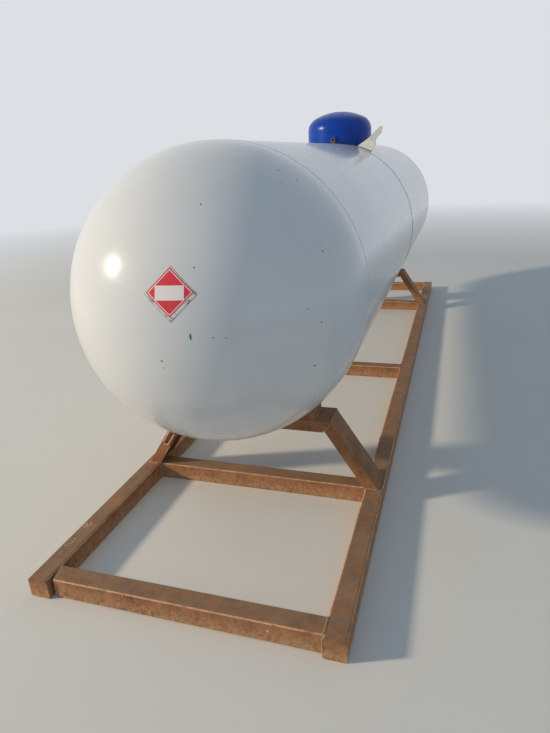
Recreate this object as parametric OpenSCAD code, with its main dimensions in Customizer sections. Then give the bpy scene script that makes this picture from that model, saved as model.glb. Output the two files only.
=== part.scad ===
// Horizontal pressure tank with a hinged valve hood, on a welded steel skid.
// +Z is up, the tank lies along Y, and the origin is on the ground under its middle.

/* [Tank] */
// Outside diameter of the shell and the heads
tank_d = 1041; // [980:1:1080]
// Length of the straight shell between the head seams
shell_len = 3584; // [3400:1:3620]
// Plate thickness of the shell
shell_t = 7; // [5:0.5:9]
// Plate thickness of the pressed heads
head_t = 6; // [5:0.5:9]
// Straight flange between a head's seam and its curve
head_skirt = 40; // [25:1:60]
// Width of the seam weld beads
bead_w = 14; // [8:1:20]
// Height of the seam weld beads above the plate
bead_h = 2; // [1:0.5:3]
// Gap left under a piece that sits on the round shell
seat_gap = 0.2; // [0.1:0.05:0.4]

/* [Skid] */
// Length of the skid over its end caps
skid_len = 4896; // [4860:1:5200]
// Width of the skid over its runners
skid_w = 1116; // [1090:1:1160]
// Width and height of the square tube
tube_w = 76; // [70:1:84]
// Wall of the square tube
tube_t = 5; // [3:0.5:8]
// Outer corner radius of the square tube
tube_r = 9; // [6:0.5:12]
// Thickness of the end caps on the runners
cap_t = 4; // [3:0.5:8]
// Distance from the skid end to the face of an end cross-member
end_setback = 14; // [5:1:60]
// Width of the open slot at the front member's left end, where it was cut short
slot_w = 17; // [6:1:24]
// Length of that end that still meets the runner
slot_land = 8; // [5:1:20]
// Distance of the middle cross-member's centre ahead of the tank's middle
mid_offset = 152; // [0:1:300]

/* [Saddles] */
// Distance from a head seam to the middle of the saddle near it
saddle_inset = 220; // [150:1:300]
// Width of the saddle channel along the tank
saddle_w = 152; // [120:1:180]
// Depth of the channel's flanges
flange_w = 46; // [38:1:55]
// Plate thickness of the channel
channel_t = 7; // [5:0.5:10]
// Half the length of the level beam, out to the knees
knee_half = 340; // [318:1:352]
// Height of the beam's top above the runners
saddle_rise = 292; // [270:1:320]
// Distance from the skid's side to the foot of a leg
foot_inset = 25; // [15:1:28]
// Distance of the cut end of a beam's flange from the knee's mitre
notch_gap = 6; // [2:1:14]
// Gap between a leg's flange and the beam's flange that laps it
lap_gap = 0.3; // [0.2:0.05:1]
// Thickness of the bearing block under the tank's lowest line
block_t = 49; // [40:1:60]
// Height of the bearing block at its ends
block_end_h = 42; // [30:1:50]
// Half the length of the bearing block
block_half = 272; // [230:1:290]
// Half the length of the block's upper land, where it carries the tank
block_land = 122; // [90:1:150]
// Distance of the block's faces inside the channel's edges
block_inset = 8; // [4:1:20]
// Distance of the cross-member's centre ahead of the saddle's middle
saddle_tube_offset = 24; // [0:1:36]

/* [Valve hood] */
// Distance of the hood's centre behind the tank's middle
hood_y = 342; // [320:1:420]
// Outside diameter of the hood
hood_d = 418; // [400:1:440]
// Height of the hood above the top of the tank
hood_h = 200; // [180:1:230]
// Sheet thickness of the hood
hood_t = 3; // [2:0.5:4]
// Radius of the hood's shoulder
hood_shoulder = 85; // [60:1:110]
// Radius of the hood's crown
hood_crown = 360; // [330:1:450]
// Gap between the hood's rim and the shell
rim_gap = 5; // [5:0.5:8]
// Outside diameter of the collar inside the hood
collar_d = 350; // [340:1:360]
// Height of the collar above the top of the tank
collar_h = 30; // [22:1:36]
// Sheet thickness of the collar
collar_t = 5; // [3:0.5:8]

/* [Hinge and hasp] */
// Radius of the hinge pin
pin_r = 5; // [4:0.5:6]
// Outer radius of the hinge knuckles
knuckle_r = 10; // [9:0.5:12]
// Length of the hood's knuckle
knuckle_len = 50; // [40:1:70]
// Length of each fixed knuckle
fixed_len = 28; // [20:1:40]
// Gap between neighbouring knuckles
knuckle_gap = 5; // [5:0.5:8]
// Running clearance between the pin and the hood's knuckle
pin_play = 0.3; // [0.2:0.05:0.6]
// Height of the hinge pin above the top of the tank
hinge_h = 24; // [20:1:30]
// Distance of the hinge pin behind the hood's wall
hinge_back = 18; // [17:1:30]
// Thickness of the hinge leaves
leaf_t = 5; // [4:0.5:7]
// Height of the hood's hinge leaf above its knuckle's top
leaf_up = 40; // [30:1:60]
// Width of the posts that carry the fixed knuckles
post_w = 16; // [12:1:17]
// Length of the hinge's base plate along the tank
base_len = 50; // [36:1:70]
// Length of the hinge pin past each fixed knuckle
pin_end = 6; // [3:1:10]
// Width of the hasp strap
hasp_w = 30; // [24:1:40]
// Height of the hasp strap
hasp_h = 42; // [40:1:60]
// Thickness of the hasp strap and the staple plate
hasp_t = 5; // [4:0.5:6]
// Height of the tab that joins the hasp strap to the hood
hasp_tab = 16; // [12:1:20]
// Distance of the hasp strap in front of the hood's wall
hasp_out = 3; // [2:0.5:6]
// Gap between the hasp strap and the staple plate
hasp_gap = 5; // [5:0.5:8]
// Radius of the holes in the hasp strap and the staple
eye_r = 6; // [5:0.5:7]
// Height of the two holes above the top of the tank
eye_h = 23; // [20:1:28]

/* [Fittings] */
// Radius of the threaded couplings that carry the fittings
coupling_r = 26; // [22:1:30]
// Height of the couplings above the top of the tank
coupling_h = 14; // [10:1:20]
// Distance of the fittings from the hood's centre
fitting_out = 92; // [80:1:100]
// Turn of the relief valve round the hood's centre
relief_turn = 45; // [40:1:50]
// Turn of the filler valve round the hood's centre
filler_turn = 135; // [130:1:140]
// Turn of the level gauge round the hood's centre
gauge_turn = 270; // [265:1:275]
// Turn of the service valve round the hood's centre
service_turn = 205; // [200:1:208]
// Turn of the vapour valve round the hood's centre
vapour_turn = 335; // [330:1:340]
// Height of the wrench hexagons above their couplings
hex_up = 12; // [6:1:18]
// Height of the wrench hexagons
hex_h = 18; // [12:1:24]
// Radius of the relief valve's body
relief_r = 24; // [20:1:25]
// Height of the relief valve above its coupling
relief_h = 92; // [80:1:110]
// Radius of the relief valve's hexagon over its corners
relief_hex_r = 28; // [26:1:32]
// Radius of the relief valve's cap
relief_cap_r = 27; // [25:1:31]
// Height of the relief valve's cap
relief_cap_h = 28; // [20:1:34]
// Radius of the filler valve's body
filler_r = 18; // [15:1:22]
// Height of the filler valve above its coupling
filler_h = 84; // [80:1:110]
// Radius of the filler valve's hexagon over its corners
filler_hex_r = 25; // [23:1:30]
// Radius of the filler valve's cap
filler_cap_r = 27; // [24:1:31]
// Height of the filler valve's cap
filler_cap_h = 38; // [28:1:44]
// Radius of the gauge's flange
gauge_flange_r = 30; // [28:1:34]
// Height of the gauge's flange
gauge_flange_h = 10; // [6:1:14]
// Radius of the gauge's dial
dial_r = 34; // [32:1:38]
// Height of the dial's case
dial_h = 14; // [10:1:18]
// Radius of the service valve's body
service_r = 16; // [13:1:19]
// Height of the service valve's body
service_h = 60; // [54:1:66]
// Height of the service valve's outlet above its coupling
outlet_up = 34; // [28:1:40]
// Radius of the service valve's outlet
outlet_r = 11; // [8:1:12]
// Length of the service valve's outlet from the body's axis
outlet_len = 38; // [28:1:44]
// Radius of the service valve's stem
stem_r = 6; // [4:0.5:8]
// Length of the service valve's stem below its handwheel
stem_h = 14; // [8:1:20]
// Radius of the handwheel to the middle of its rim
wheel_r = 22; // [19:1:26]
// Radius of the handwheel's round rim
wheel_rim = 4; // [3:0.5:5]
// Radius of the handwheel's spokes
spoke_r = 2.8; // [2:0.2:3.4]
// Radius of the vapour valve's body
vapour_r = 15; // [12:1:17]
// Height of the vapour valve's body
vapour_h = 52; // [44:1:60]
// Radius of the vapour valve's cap
vapour_cap_r = 18; // [18:1:22]
// Height of the vapour valve's cap
vapour_cap_h = 22; // [16:1:28]

/* [Side bracket] */
// Distance of the bracket's front face behind the tank's middle
bracket_y = 150; // [130:1:165]
// Angle of the bracket's bend round the shell from the top
bracket_turn = 25; // [23:0.5:27]
// Height of the bend above the shell
bend_h = 56; // [52:1:62]
// Lean of the bracket's strap from the vertical
bracket_lean = 39; // [36:1:42]
// Width of the strap at its bend
bracket_w = 64; // [54:1:70]
// Plate thickness of the bracket
bracket_t = 9; // [6:0.5:10]
// Length of the free end beyond the bend
bracket_len = 108; // [90:1:120]
// Width of the free end past its shoulder
bracket_neck = 42; // [34:1:48]
// Length of the corner cut off the free end
bracket_clip = 30; // [16:1:40]
// Taper of the bracket's free end on each side
bracket_taper = 14; // [8:1:18]
// Width that the foot gains on its high side down to the shell
bracket_flare = 34; // [16:1:40]
// Angle that the free end is bent back
bracket_bend = 22; // [10:1:30]

/* [Tie loop] */
// Radius of the tie loop's rod
loop_rod = 5; // [4:0.5:7]
// Inner half width of the tie loop
loop_half = 8; // [6:0.5:12]
// Straight length of the tie loop
loop_len = 62; // [40:1:80]
// Height of the loop's bend above the runner
loop_rise = 122; // [100:1:140]

/* [Hidden] */
$fn = 96;
tank_r = tank_d / 2;
axis_z = tube_w + saddle_rise + block_t + tank_r;
top_z = axis_z + tank_r;
seam_y = shell_len / 2;
runner_x = skid_w / 2 - tube_w / 2;
clear_w = skid_w - 2 * tube_w;
saddle_y = seam_y - saddle_inset;
beam_z = tube_w + saddle_rise;
foot_x = skid_w / 2 - foot_inset;
leg_run = foot_x - knee_half;
leg_angle = atan2(saddle_rise, leg_run);
// Half of the turn at a knee, which sets the mitre.
mitre = leg_angle / 2;
leg_w = saddle_w - 2 * (channel_t + lap_gap);
hood_r = hood_d / 2;
// Depth to which pieces are drawn below the top of the tank before the shell's form cuts them.
sink = tank_r / 6;
hinge_y = hood_y + hood_r + hinge_back;
hinge_z = top_z + hinge_h;
strap_y = hood_y - hood_r - hasp_t - hasp_out;
staple_y = strap_y - hasp_gap - hasp_t;

// A solid of revolution about the tank's axis, from a profile of radius and place along Y.
module round_tank() {
    translate([0, 0, axis_z])
        rotate([-90, 0, 0])
            rotate_extrude()
                children();
}

// The tank's outer form grown by a gap, to cut pieces that sit on the shell.
module shell_cutter(grow) {
    translate([0, 0, axis_z])
        rotate([90, 0, 0])
            cylinder(r = tank_r + grow, h = shell_len, center = true, $fn = 360);
}

module head_profile() {
    difference() {
        union() {
            square([tank_r, head_skirt]);
            translate([0, head_skirt])
                intersection() {
                    circle(r = tank_r);
                    square([tank_r, tank_r]);
                }
        }
        translate([0, -1])
            square([tank_r - head_t, head_skirt + 1]);
        translate([0, head_skirt])
            circle(r = tank_r - head_t);
    }
}

module tank_head() {
    translate([0, seam_y, 0])
        round_tank()
            head_profile();
}

module front_head() {
    color("whitesmoke")
        mirror([0, 1, 0])
            tank_head();
}

module rear_head() {
    color("whitesmoke")
        tank_head();
}

module shell_course() {
    round_tank()
        translate([tank_r - shell_t, 0])
            square([shell_t, seam_y]);
}

module front_shell() {
    color("white")
        mirror([0, 1, 0])
            shell_course();
}

module rear_shell() {
    color("white")
        shell_course();
}

module seam_bead(place) {
    translate([0, place, 0])
        round_tank()
            translate([tank_r, 0])
                polygon([[0, -bead_w / 2], [bead_h * 0.7, -bead_w / 4], [bead_h, 0],
                    [bead_h * 0.7, bead_w / 4], [0, bead_w / 2]]);
}

module front_head_weld() {
    color("gainsboro")
        seam_bead(-seam_y);
}

module rear_head_weld() {
    color("gainsboro")
        seam_bead(seam_y);
}

module middle_weld() {
    color("gainsboro")
        seam_bead(0);
}

// Half of a dished cover: a straight side, a round shoulder and a shallow crown.
module dish_profile(radius, height, shoulder, crown) {
    crown_z = height - crown;
    shoulder_z = crown_z + sqrt(pow(crown - shoulder, 2) - pow(radius - shoulder, 2));
    reach = crown / (crown - shoulder);
    meet_x = (radius - shoulder) * reach;
    meet_z = crown_z + (shoulder_z - crown_z) * reach;
    square_bottom = -tank_r;
    translate([0, square_bottom])
        square([radius, shoulder_z - square_bottom]);
    translate([radius - shoulder, shoulder_z])
        intersection() {
            circle(r = shoulder);
            square([shoulder, shoulder]);
        }
    polygon([[0, shoulder_z - 1], [radius - shoulder, shoulder_z - 1], [radius - shoulder, shoulder_z],
        [meet_x, meet_z], [0, meet_z]]);
    intersection() {
        translate([0, crown_z])
            circle(r = crown);
        translate([0, meet_z])
            square([meet_x, crown]);
    }
}

module hood() {
    color("royalblue")
        difference() {
            translate([0, hood_y, top_z])
                rotate_extrude()
                    difference() {
                        dish_profile(hood_r, hood_h, hood_shoulder, hood_crown);
                        dish_profile(hood_r - hood_t, hood_h - hood_t, hood_shoulder - hood_t,
                            hood_crown - hood_t);
                    }
            shell_cutter(rim_gap);
        }
}

module hood_collar() {
    color("white")
        difference() {
            translate([0, hood_y, top_z - sink])
                difference() {
                    cylinder(d = collar_d, h = sink + collar_h);
                    translate([0, 0, -1])
                        cylinder(d = collar_d - 2 * collar_t, h = sink + collar_h + 2);
                }
            shell_cutter(seat_gap);
        }
}

module hood_hinge_leaf() {
    color("steelblue")
        difference() {
            union() {
                translate([0, hinge_y, hinge_z])
                    rotate([0, 90, 0])
                        cylinder(r = knuckle_r, h = knuckle_len, center = true);
                translate([-knuckle_len / 2, hood_y + hood_r - leaf_t, hinge_z])
                    cube([knuckle_len, hinge_back + leaf_t, knuckle_r]);
                translate([-knuckle_len / 2, hood_y + hood_r - leaf_t, hinge_z])
                    cube([knuckle_len, 2 * leaf_t, knuckle_r + leaf_up]);
            }
            translate([0, hinge_y, hinge_z])
                rotate([0, 90, 0])
                    cylinder(r = pin_r + pin_play, h = knuckle_len + 2, center = true);
            translate([0, hood_y, top_z - 1])
                cylinder(r = hood_r, h = hood_h);
        }
}

module hinge_bracket() {
    fixed_x = knuckle_len / 2 + knuckle_gap;
    color("white")
        difference() {
            union() {
                for (side = [-1, 1])
                    translate([side * (fixed_x + fixed_len / 2), hinge_y, hinge_z]) {
                        rotate([0, 90, 0])
                            cylinder(r = knuckle_r, h = fixed_len, center = true);
                        translate([-fixed_len / 2, -post_w / 2, -hinge_h - sink])
                            cube([fixed_len, post_w, hinge_h + sink]);
                    }
                translate([-fixed_x - fixed_len, hinge_y, top_z - sink])
                    cube([2 * (fixed_x + fixed_len), base_len, sink + leaf_t]);
            }
            shell_cutter(seat_gap);
            translate([0, hinge_y, hinge_z])
                rotate([0, 90, 0])
                    cylinder(r = pin_r, h = 2 * (fixed_x + fixed_len) + 2, center = true);
        }
}

module hinge_pin() {
    pin_len = knuckle_len + 2 * (knuckle_gap + fixed_len + pin_end);
    color("silver")
        translate([0, hinge_y, hinge_z])
            rotate([0, 90, 0])
                cylinder(r = pin_r, h = pin_len, center = true);
}

module hood_hasp() {
    strap_z = top_z + rim_gap + 2;
    color("steelblue")
        difference() {
            union() {
                translate([-hasp_w / 2, strap_y, strap_z])
                    cube([hasp_w, hasp_t, hasp_h]);
                translate([-hasp_w / 2, strap_y, strap_z + hasp_h - hasp_tab])
                    cube([hasp_w, hood_r / 4, hasp_tab]);
            }
            translate([0, hood_y, top_z - 1])
                cylinder(r = hood_r, h = hood_h);
            translate([0, strap_y + hasp_t / 2, top_z + eye_h])
                rotate([90, 0, 0])
                    cylinder(r = eye_r, h = hasp_t + 2, center = true);
        }
}

module hasp_staple() {
    color("sienna")
        difference() {
            translate([0, staple_y + hasp_t, top_z])
                rotate([90, 0, 0])
                    linear_extrude(height = hasp_t)
                        difference() {
                            union() {
                                translate([-hasp_w / 2, -sink])
                                    square([hasp_w, sink + eye_h]);
                                translate([0, eye_h])
                                    circle(d = hasp_w);
                            }
                            translate([0, eye_h])
                                circle(r = eye_r);
                        }
            shell_cutter(seat_gap);
        }
}

// A coupling standing on the shell at a place round the hood's centre.
module coupling(turn) {
    difference() {
        translate([fitting_out * cos(turn), hood_y + fitting_out * sin(turn), top_z - sink])
            cylinder(r = coupling_r, h = sink + coupling_h);
        shell_cutter(seat_gap);
    }
}

module at_fitting(turn) {
    translate([fitting_out * cos(turn), hood_y + fitting_out * sin(turn), top_z + coupling_h])
        children();
}

// A wrench hexagon round a valve's body.
module wrench_hex(corner_r) {
    translate([0, 0, hex_up])
        cylinder(r = corner_r, h = hex_h, $fn = 6);
}

module relief_valve() {
    body_h = relief_h - relief_cap_h;
    color("goldenrod") {
        coupling(relief_turn);
        at_fitting(relief_turn) {
            cylinder(r = relief_r, h = body_h);
            wrench_hex(relief_hex_r);
            translate([0, 0, body_h])
                cylinder(r = relief_cap_r, h = relief_cap_h);
        }
    }
}

module filler_valve() {
    body_h = filler_h - filler_cap_h;
    color("goldenrod") {
        coupling(filler_turn);
        at_fitting(filler_turn) {
            cylinder(r = filler_r, h = body_h);
            wrench_hex(filler_hex_r);
            translate([0, 0, body_h])
                cylinder(r = filler_cap_r, h = filler_cap_h);
        }
    }
}

module level_gauge() {
    color("silver") {
        coupling(gauge_turn);
        at_fitting(gauge_turn) {
            cylinder(r = gauge_flange_r, h = gauge_flange_h);
            translate([0, 0, gauge_flange_h])
                cylinder(r = dial_r, h = dial_h);
        }
    }
}

module service_valve() {
    wheel_z = service_h + stem_h;
    color("goldenrod") {
        coupling(service_turn);
        at_fitting(service_turn) {
            cylinder(r = service_r, h = service_h);
            translate([0, 0, outlet_up])
                rotate([0, 90, service_turn])
                    cylinder(r = outlet_r, h = outlet_len);
            translate([0, 0, service_h])
                cylinder(r = stem_r, h = stem_h + wheel_rim);
            translate([0, 0, wheel_z])
                rotate_extrude()
                    translate([wheel_r, 0])
                        circle(r = wheel_rim);
            for (spoke = [0, 120, 240])
                rotate([0, 0, spoke])
                    translate([0, 0, wheel_z])
                        rotate([0, 90, 0])
                            cylinder(r = spoke_r, h = wheel_r);
        }
    }
}

module vapour_valve() {
    color("goldenrod") {
        coupling(vapour_turn);
        at_fitting(vapour_turn) {
            cylinder(r = vapour_r, h = vapour_h);
            translate([0, 0, vapour_h])
                cylinder(r = vapour_cap_r, h = vapour_cap_h);
        }
    }
}

// Front outline of the bracket's strap from its flared foot to its clipped free end.
module bracket_outline(foot_len, tip_h) {
    half = bracket_w / 2;
    neck_x = bracket_neck - half;
    polygon([[-half, 0], [-half - bracket_flare, -foot_len], [half, -foot_len], [half, 0],
        [neck_x, (bracket_w - bracket_neck) * cos(bracket_bend)],
        [neck_x, tip_h - bracket_clip * cos(bracket_bend)],
        [neck_x - bracket_taper, tip_h], [-half + bracket_taper, tip_h]]);
}

// Side profile of the strap, bent back above its foot and longer than the outline at both ends.
module bracket_fold(foot_len, free_len) {
    polygon([[0, -foot_len], [bracket_t, -foot_len], [bracket_t, -bracket_t * tan(bracket_bend / 2)],
        [free_len * sin(bracket_bend) + bracket_t * cos(bracket_bend),
            free_len * cos(bracket_bend) - bracket_t * sin(bracket_bend)],
        [free_len * sin(bracket_bend), free_len * cos(bracket_bend)], [0, 0]]);
}

// A strap with a flared foot on the shell and a clipped free end that is bent back.
module side_bracket() {
    bend_r = tank_r + bend_h;
    foot_len = bend_h + sink / 2;
    reach = bracket_w + 2 * bracket_flare;
    color("white")
        difference() {
            translate([bend_r * sin(bracket_turn), bracket_y, axis_z + bend_r * cos(bracket_turn)])
                rotate([0, bracket_lean, 0])
                    intersection() {
                        translate([0, bracket_len, 0])
                            rotate([90, 0, 0])
                                linear_extrude(height = 2 * bracket_len)
                                    bracket_outline(foot_len, bracket_len * cos(bracket_bend));
                        translate([-reach, 0, 0])
                            rotate([90, 0, 90])
                                linear_extrude(height = 2 * reach)
                                    bracket_fold(foot_len + bracket_t, bracket_len + 2 * bracket_t);
                    }
            shell_cutter(seat_gap);
        }
}

// Outline of the square tube with round corners, centred on the origin.
module rounded_square(side, corner) {
    flat = side - 2 * corner;
    square([side, flat], center = true);
    square([flat, side], center = true);
    for (across = [-1, 1])
        for (up = [-1, 1])
            translate([across * flat / 2, up * flat / 2])
                circle(r = corner);
}

module tube_profile() {
    difference() {
        rounded_square(tube_w, tube_r);
        rounded_square(tube_w - 2 * tube_t, tube_r - tube_t);
    }
}

module runner(side) {
    translate([side * runner_x, 0, tube_w / 2])
        rotate([90, 0, 0])
            linear_extrude(height = skid_len - 2 * cap_t, center = true)
                tube_profile();
}

module left_runner() {
    color("rosybrown")
        runner(-1);
}

module right_runner() {
    color("rosybrown")
        runner(1);
}

module runner_cap(side, end) {
    translate([side * runner_x, end * (skid_len / 2 - cap_t / 2), tube_w / 2])
        rotate([90, 0, 0])
            linear_extrude(height = cap_t, center = true)
                rounded_square(tube_w, tube_r);
}

module left_front_cap() {
    color("sienna")
        runner_cap(-1, -1);
}

module left_rear_cap() {
    color("sienna")
        runner_cap(-1, 1);
}

module right_front_cap() {
    color("sienna")
        runner_cap(1, -1);
}

module right_rear_cap() {
    color("sienna")
        runner_cap(1, 1);
}

module cross_tube(place) {
    translate([0, place, tube_w / 2])
        rotate([0, 90, 0])
            linear_extrude(height = clear_w, center = true)
                tube_profile();
}

// The front member's left end is cut askew, which leaves an open slot beside the left runner.
module front_cross_member() {
    front_y = -skid_len / 2 + end_setback;
    run = tube_w - slot_land;
    color("peru")
        difference() {
            cross_tube(front_y + tube_w / 2);
            translate([-clear_w / 2, front_y, -1])
                linear_extrude(height = tube_w + 2)
                    polygon([[-slot_w, 2 * run], [2 * slot_w, -run], [-slot_w, -run]]);
        }
}

module rear_cross_member() {
    color("peru")
        cross_tube(skid_len / 2 - end_setback - tube_w / 2);
}

module middle_cross_member() {
    color("peru")
        cross_tube(-mid_offset);
}

module front_saddle_tube() {
    color("peru")
        cross_tube(-saddle_y - saddle_tube_offset);
}

module rear_saddle_tube() {
    color("peru")
        cross_tube(saddle_y + saddle_tube_offset);
}

// A channel piece made from the side view of its web and the side view of its flanges.
module channel(web, flange, place, width) {
    translate([0, place + width / 2, 0])
        rotate([90, 0, 0])
            linear_extrude(height = width)
                polygon(web);
    for (edge = [-1, 1])
        translate([0, place + edge * (width - channel_t) / 2 + channel_t / 2, 0])
            rotate([90, 0, 0])
                linear_extrude(height = channel_t)
                    polygon(flange);
}

module saddle_beam(place) {
    web_in = channel_t * tan(mitre);
    tip_in = flange_w * tan(mitre);
    web = [[-knee_half, beam_z], [knee_half, beam_z], [knee_half - web_in, beam_z - channel_t],
        [-knee_half + web_in, beam_z - channel_t]];
    cut_top = knee_half - notch_gap;
    cut_tip = cut_top - tip_in;
    flange = [[-cut_top, beam_z], [cut_top, beam_z], [cut_tip, beam_z - flange_w],
        [-cut_tip, beam_z - flange_w]];
    channel(web, flange, place, saddle_w);
}

module front_saddle_beam() {
    color("peru")
        saddle_beam(-saddle_y);
}

module rear_saddle_beam() {
    color("peru")
        saddle_beam(saddle_y);
}

// A leg on the positive side: its web is mitred to the beam's, its flanges reach up inside
// the beam's flanges, and it stands on the runner.
module saddle_leg(place) {
    web_foot = channel_t / sin(leg_angle);
    tip_foot = flange_w / sin(leg_angle);
    web_in = channel_t * tan(mitre);
    lap_z = beam_z - channel_t - lap_gap;
    lap_x = foot_x - tip_foot - (lap_z - tube_w) / tan(leg_angle);
    web = [[knee_half, beam_z], [foot_x, tube_w], [foot_x - web_foot, tube_w],
        [knee_half - web_in, beam_z - channel_t]];
    flange = [[knee_half, beam_z], [foot_x, tube_w], [foot_x - tip_foot, tube_w],
        [lap_x, lap_z], [knee_half - web_in - lap_gap, lap_z], [knee_half - web_in, beam_z - channel_t]];
    channel(web, flange, place, leg_w);
}

module front_left_leg() {
    color("sienna")
        mirror([1, 0, 0])
            saddle_leg(-saddle_y);
}

module front_right_leg() {
    color("sienna")
        saddle_leg(-saddle_y);
}

module rear_left_leg() {
    color("sienna")
        mirror([1, 0, 0])
            saddle_leg(saddle_y);
}

module rear_right_leg() {
    color("sienna")
        saddle_leg(saddle_y);
}

module bearing_block(place) {
    // The land is drawn high enough to be cut by the shell over its whole length.
    crest = block_t + tank_r - sqrt(pow(tank_r, 2) - pow(block_land, 2)) + seat_gap;
    depth = saddle_w - 2 * block_inset;
    difference() {
        translate([0, place + depth / 2, 0])
            rotate([90, 0, 0])
                linear_extrude(height = depth)
                    polygon([[-block_half, beam_z], [block_half, beam_z],
                        [block_half, beam_z + block_end_h], [block_land, beam_z + crest],
                        [-block_land, beam_z + crest], [-block_half, beam_z + block_end_h]]);
        shell_cutter(seat_gap);
    }
}

module front_bearing_block() {
    color("chocolate")
        bearing_block(-saddle_y);
}

module rear_bearing_block() {
    color("chocolate")
        bearing_block(saddle_y);
}

// A bent rod loop on the front flange of the front left leg.
module front_tie_loop() {
    face_y = -saddle_y - leg_w / 2 - loop_rod;
    mid_in = flange_w / 2 / sin(leg_angle);
    loop_x = -foot_x + mid_in + loop_rise / tan(leg_angle);
    color("peru")
        translate([loop_x, face_y, tube_w + loop_rise])
            rotate([0, 90 - leg_angle, 0]) {
                for (side = [-1, 1])
                    translate([side * (loop_half + loop_rod), 0, 0])
                        cylinder(r = loop_rod, h = loop_len);
                rotate([-90, 0, 0])
                    rotate_extrude(angle = 180)
                        translate([loop_half + loop_rod, 0])
                            circle(r = loop_rod);
            }
}

front_head();
rear_head();
front_shell();
rear_shell();
front_head_weld();
rear_head_weld();
middle_weld();
hood_collar();
hood();
hood_hinge_leaf();
hood_hasp();
hinge_bracket();
hinge_pin();
hasp_staple();
relief_valve();
filler_valve();
level_gauge();
service_valve();
vapour_valve();
side_bracket();
left_runner();
right_runner();
left_front_cap();
left_rear_cap();
right_front_cap();
right_rear_cap();
front_cross_member();
rear_cross_member();
middle_cross_member();
front_saddle_tube();
rear_saddle_tube();
front_saddle_beam();
rear_saddle_beam();
front_left_leg();
front_right_leg();
rear_left_leg();
rear_right_leg();
front_bearing_block();
rear_bearing_block();
front_tie_loop();
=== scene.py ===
"""Looks of a horizontal pressure tank with a hinged valve hood on a welded steel skid."""

import logging  # noqa: E402
import math  # noqa: E402
from dataclasses import dataclass, field  # noqa: E402
from enum import Enum  # noqa: E402
from random import Random  # noqa: E402
from typing import Any, Iterable, Sequence  # noqa: E402

import bmesh  # noqa: E402
import bpy  # noqa: E402
from mathutils import Matrix, Vector  # noqa: E402


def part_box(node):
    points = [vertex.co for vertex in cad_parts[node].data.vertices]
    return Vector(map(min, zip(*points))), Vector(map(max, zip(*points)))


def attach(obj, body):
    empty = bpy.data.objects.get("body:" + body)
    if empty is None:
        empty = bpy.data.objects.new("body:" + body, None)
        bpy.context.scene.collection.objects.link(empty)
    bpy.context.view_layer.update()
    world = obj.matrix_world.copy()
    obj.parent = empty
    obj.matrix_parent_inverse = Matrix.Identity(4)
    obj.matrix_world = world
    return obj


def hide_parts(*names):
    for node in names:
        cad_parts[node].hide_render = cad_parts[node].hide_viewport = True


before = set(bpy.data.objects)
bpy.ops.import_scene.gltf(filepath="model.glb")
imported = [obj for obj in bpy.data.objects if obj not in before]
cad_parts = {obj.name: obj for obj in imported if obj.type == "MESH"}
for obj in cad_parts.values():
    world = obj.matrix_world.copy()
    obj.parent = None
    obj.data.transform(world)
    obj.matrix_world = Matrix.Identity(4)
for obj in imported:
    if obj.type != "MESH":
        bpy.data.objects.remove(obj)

Shape = bmesh.types.BMesh
Material = bpy.types.Material
Socket = bpy.types.NodeSocket
Colour = tuple[float, float, float, float]
Point = Sequence[float]

LOG = logging.getLogger("pressure_tank")
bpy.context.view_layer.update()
UP = Vector((0, 0, 1))

# Edges over this many degrees stay sharp on each kind of piece.
CHIP_SHARP = 34.0
FLAKE_SHARP = 40.0
FITTING_SHARP = 50.0
SKIN_SHARP = 60.0
BEAD_SHARP = 70.0
SHEET_SHARP = 80.0


class Body(Enum):
    """The CAD bodies that a piece may ride on."""

    TANK = "tank"
    HOOD = "valve_hood"


class Slot(Enum):
    """The record's material slots, passed along when the added pieces are made."""

    TANK_PAINT = "tank_paint"
    HOOD_PAINT = "hood_paint"
    BRASS = "valve_brass"
    GAUGE = "gauge_metal"
    SKID = "skid_steel"


class End(Enum):
    """The two ends of the tank, as the sign of Y."""

    FRONT = -1
    REAR = 1


class Spot(Enum):
    """The fittings under the hood, by their turn round its centre in degrees."""

    RELIEF = 45
    FILLER = 135
    GAUGE = 270
    SERVICE = 205
    VAPOUR = 335


def srgb(red: int, green: int, blue: int) -> Colour:
    """Turns a display colour into the linear colour that a shader takes.

    Args:
        red: Red from 0 to 255.
        green: Green from 0 to 255.
        blue: Blue from 0 to 255.

    Returns:
        Linear red, green and blue with an alpha of 1.
    """

    def linear(value: int) -> float:
        """One channel's linear value."""
        part = value / 255
        return part / 12.92 if part <= 0.04045 else ((part + 0.055) / 1.055) ** 2.4

    return (linear(red), linear(green), linear(blue), 1.0)


def put_in_scene(name: str, data: bpy.types.ID) -> bpy.types.Object:
    """Adds one object to the scene.

    Args:
        name: The object's name.
        data: Its mesh, lamp or camera.

    Returns:
        The new object.
    """
    made = bpy.data.objects.new(name, data)
    bpy.context.scene.collection.objects.link(made)
    return made


def seen_rays(tree: bpy.types.NodeTree) -> Socket:
    """Picks out the rays by which the backdrop is seen, straight or in a gloss.

    Args:
        tree: The node tree to work in.

    Returns:
        1 for camera, glossy and transmission rays, and 0 for the rest.
    """
    path = tree.nodes.new("ShaderNodeLightPath")
    seen = path.outputs["Is Camera Ray"]
    for kind in ("Is Glossy Ray", "Is Transmission Ray"):
        either = tree.nodes.new("ShaderNodeMath")
        either.operation = "MAXIMUM"
        tree.links.new(seen, either.inputs[0])
        tree.links.new(path.outputs[kind], either.inputs[1])
        seen = either.outputs[0]
    return seen


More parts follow.
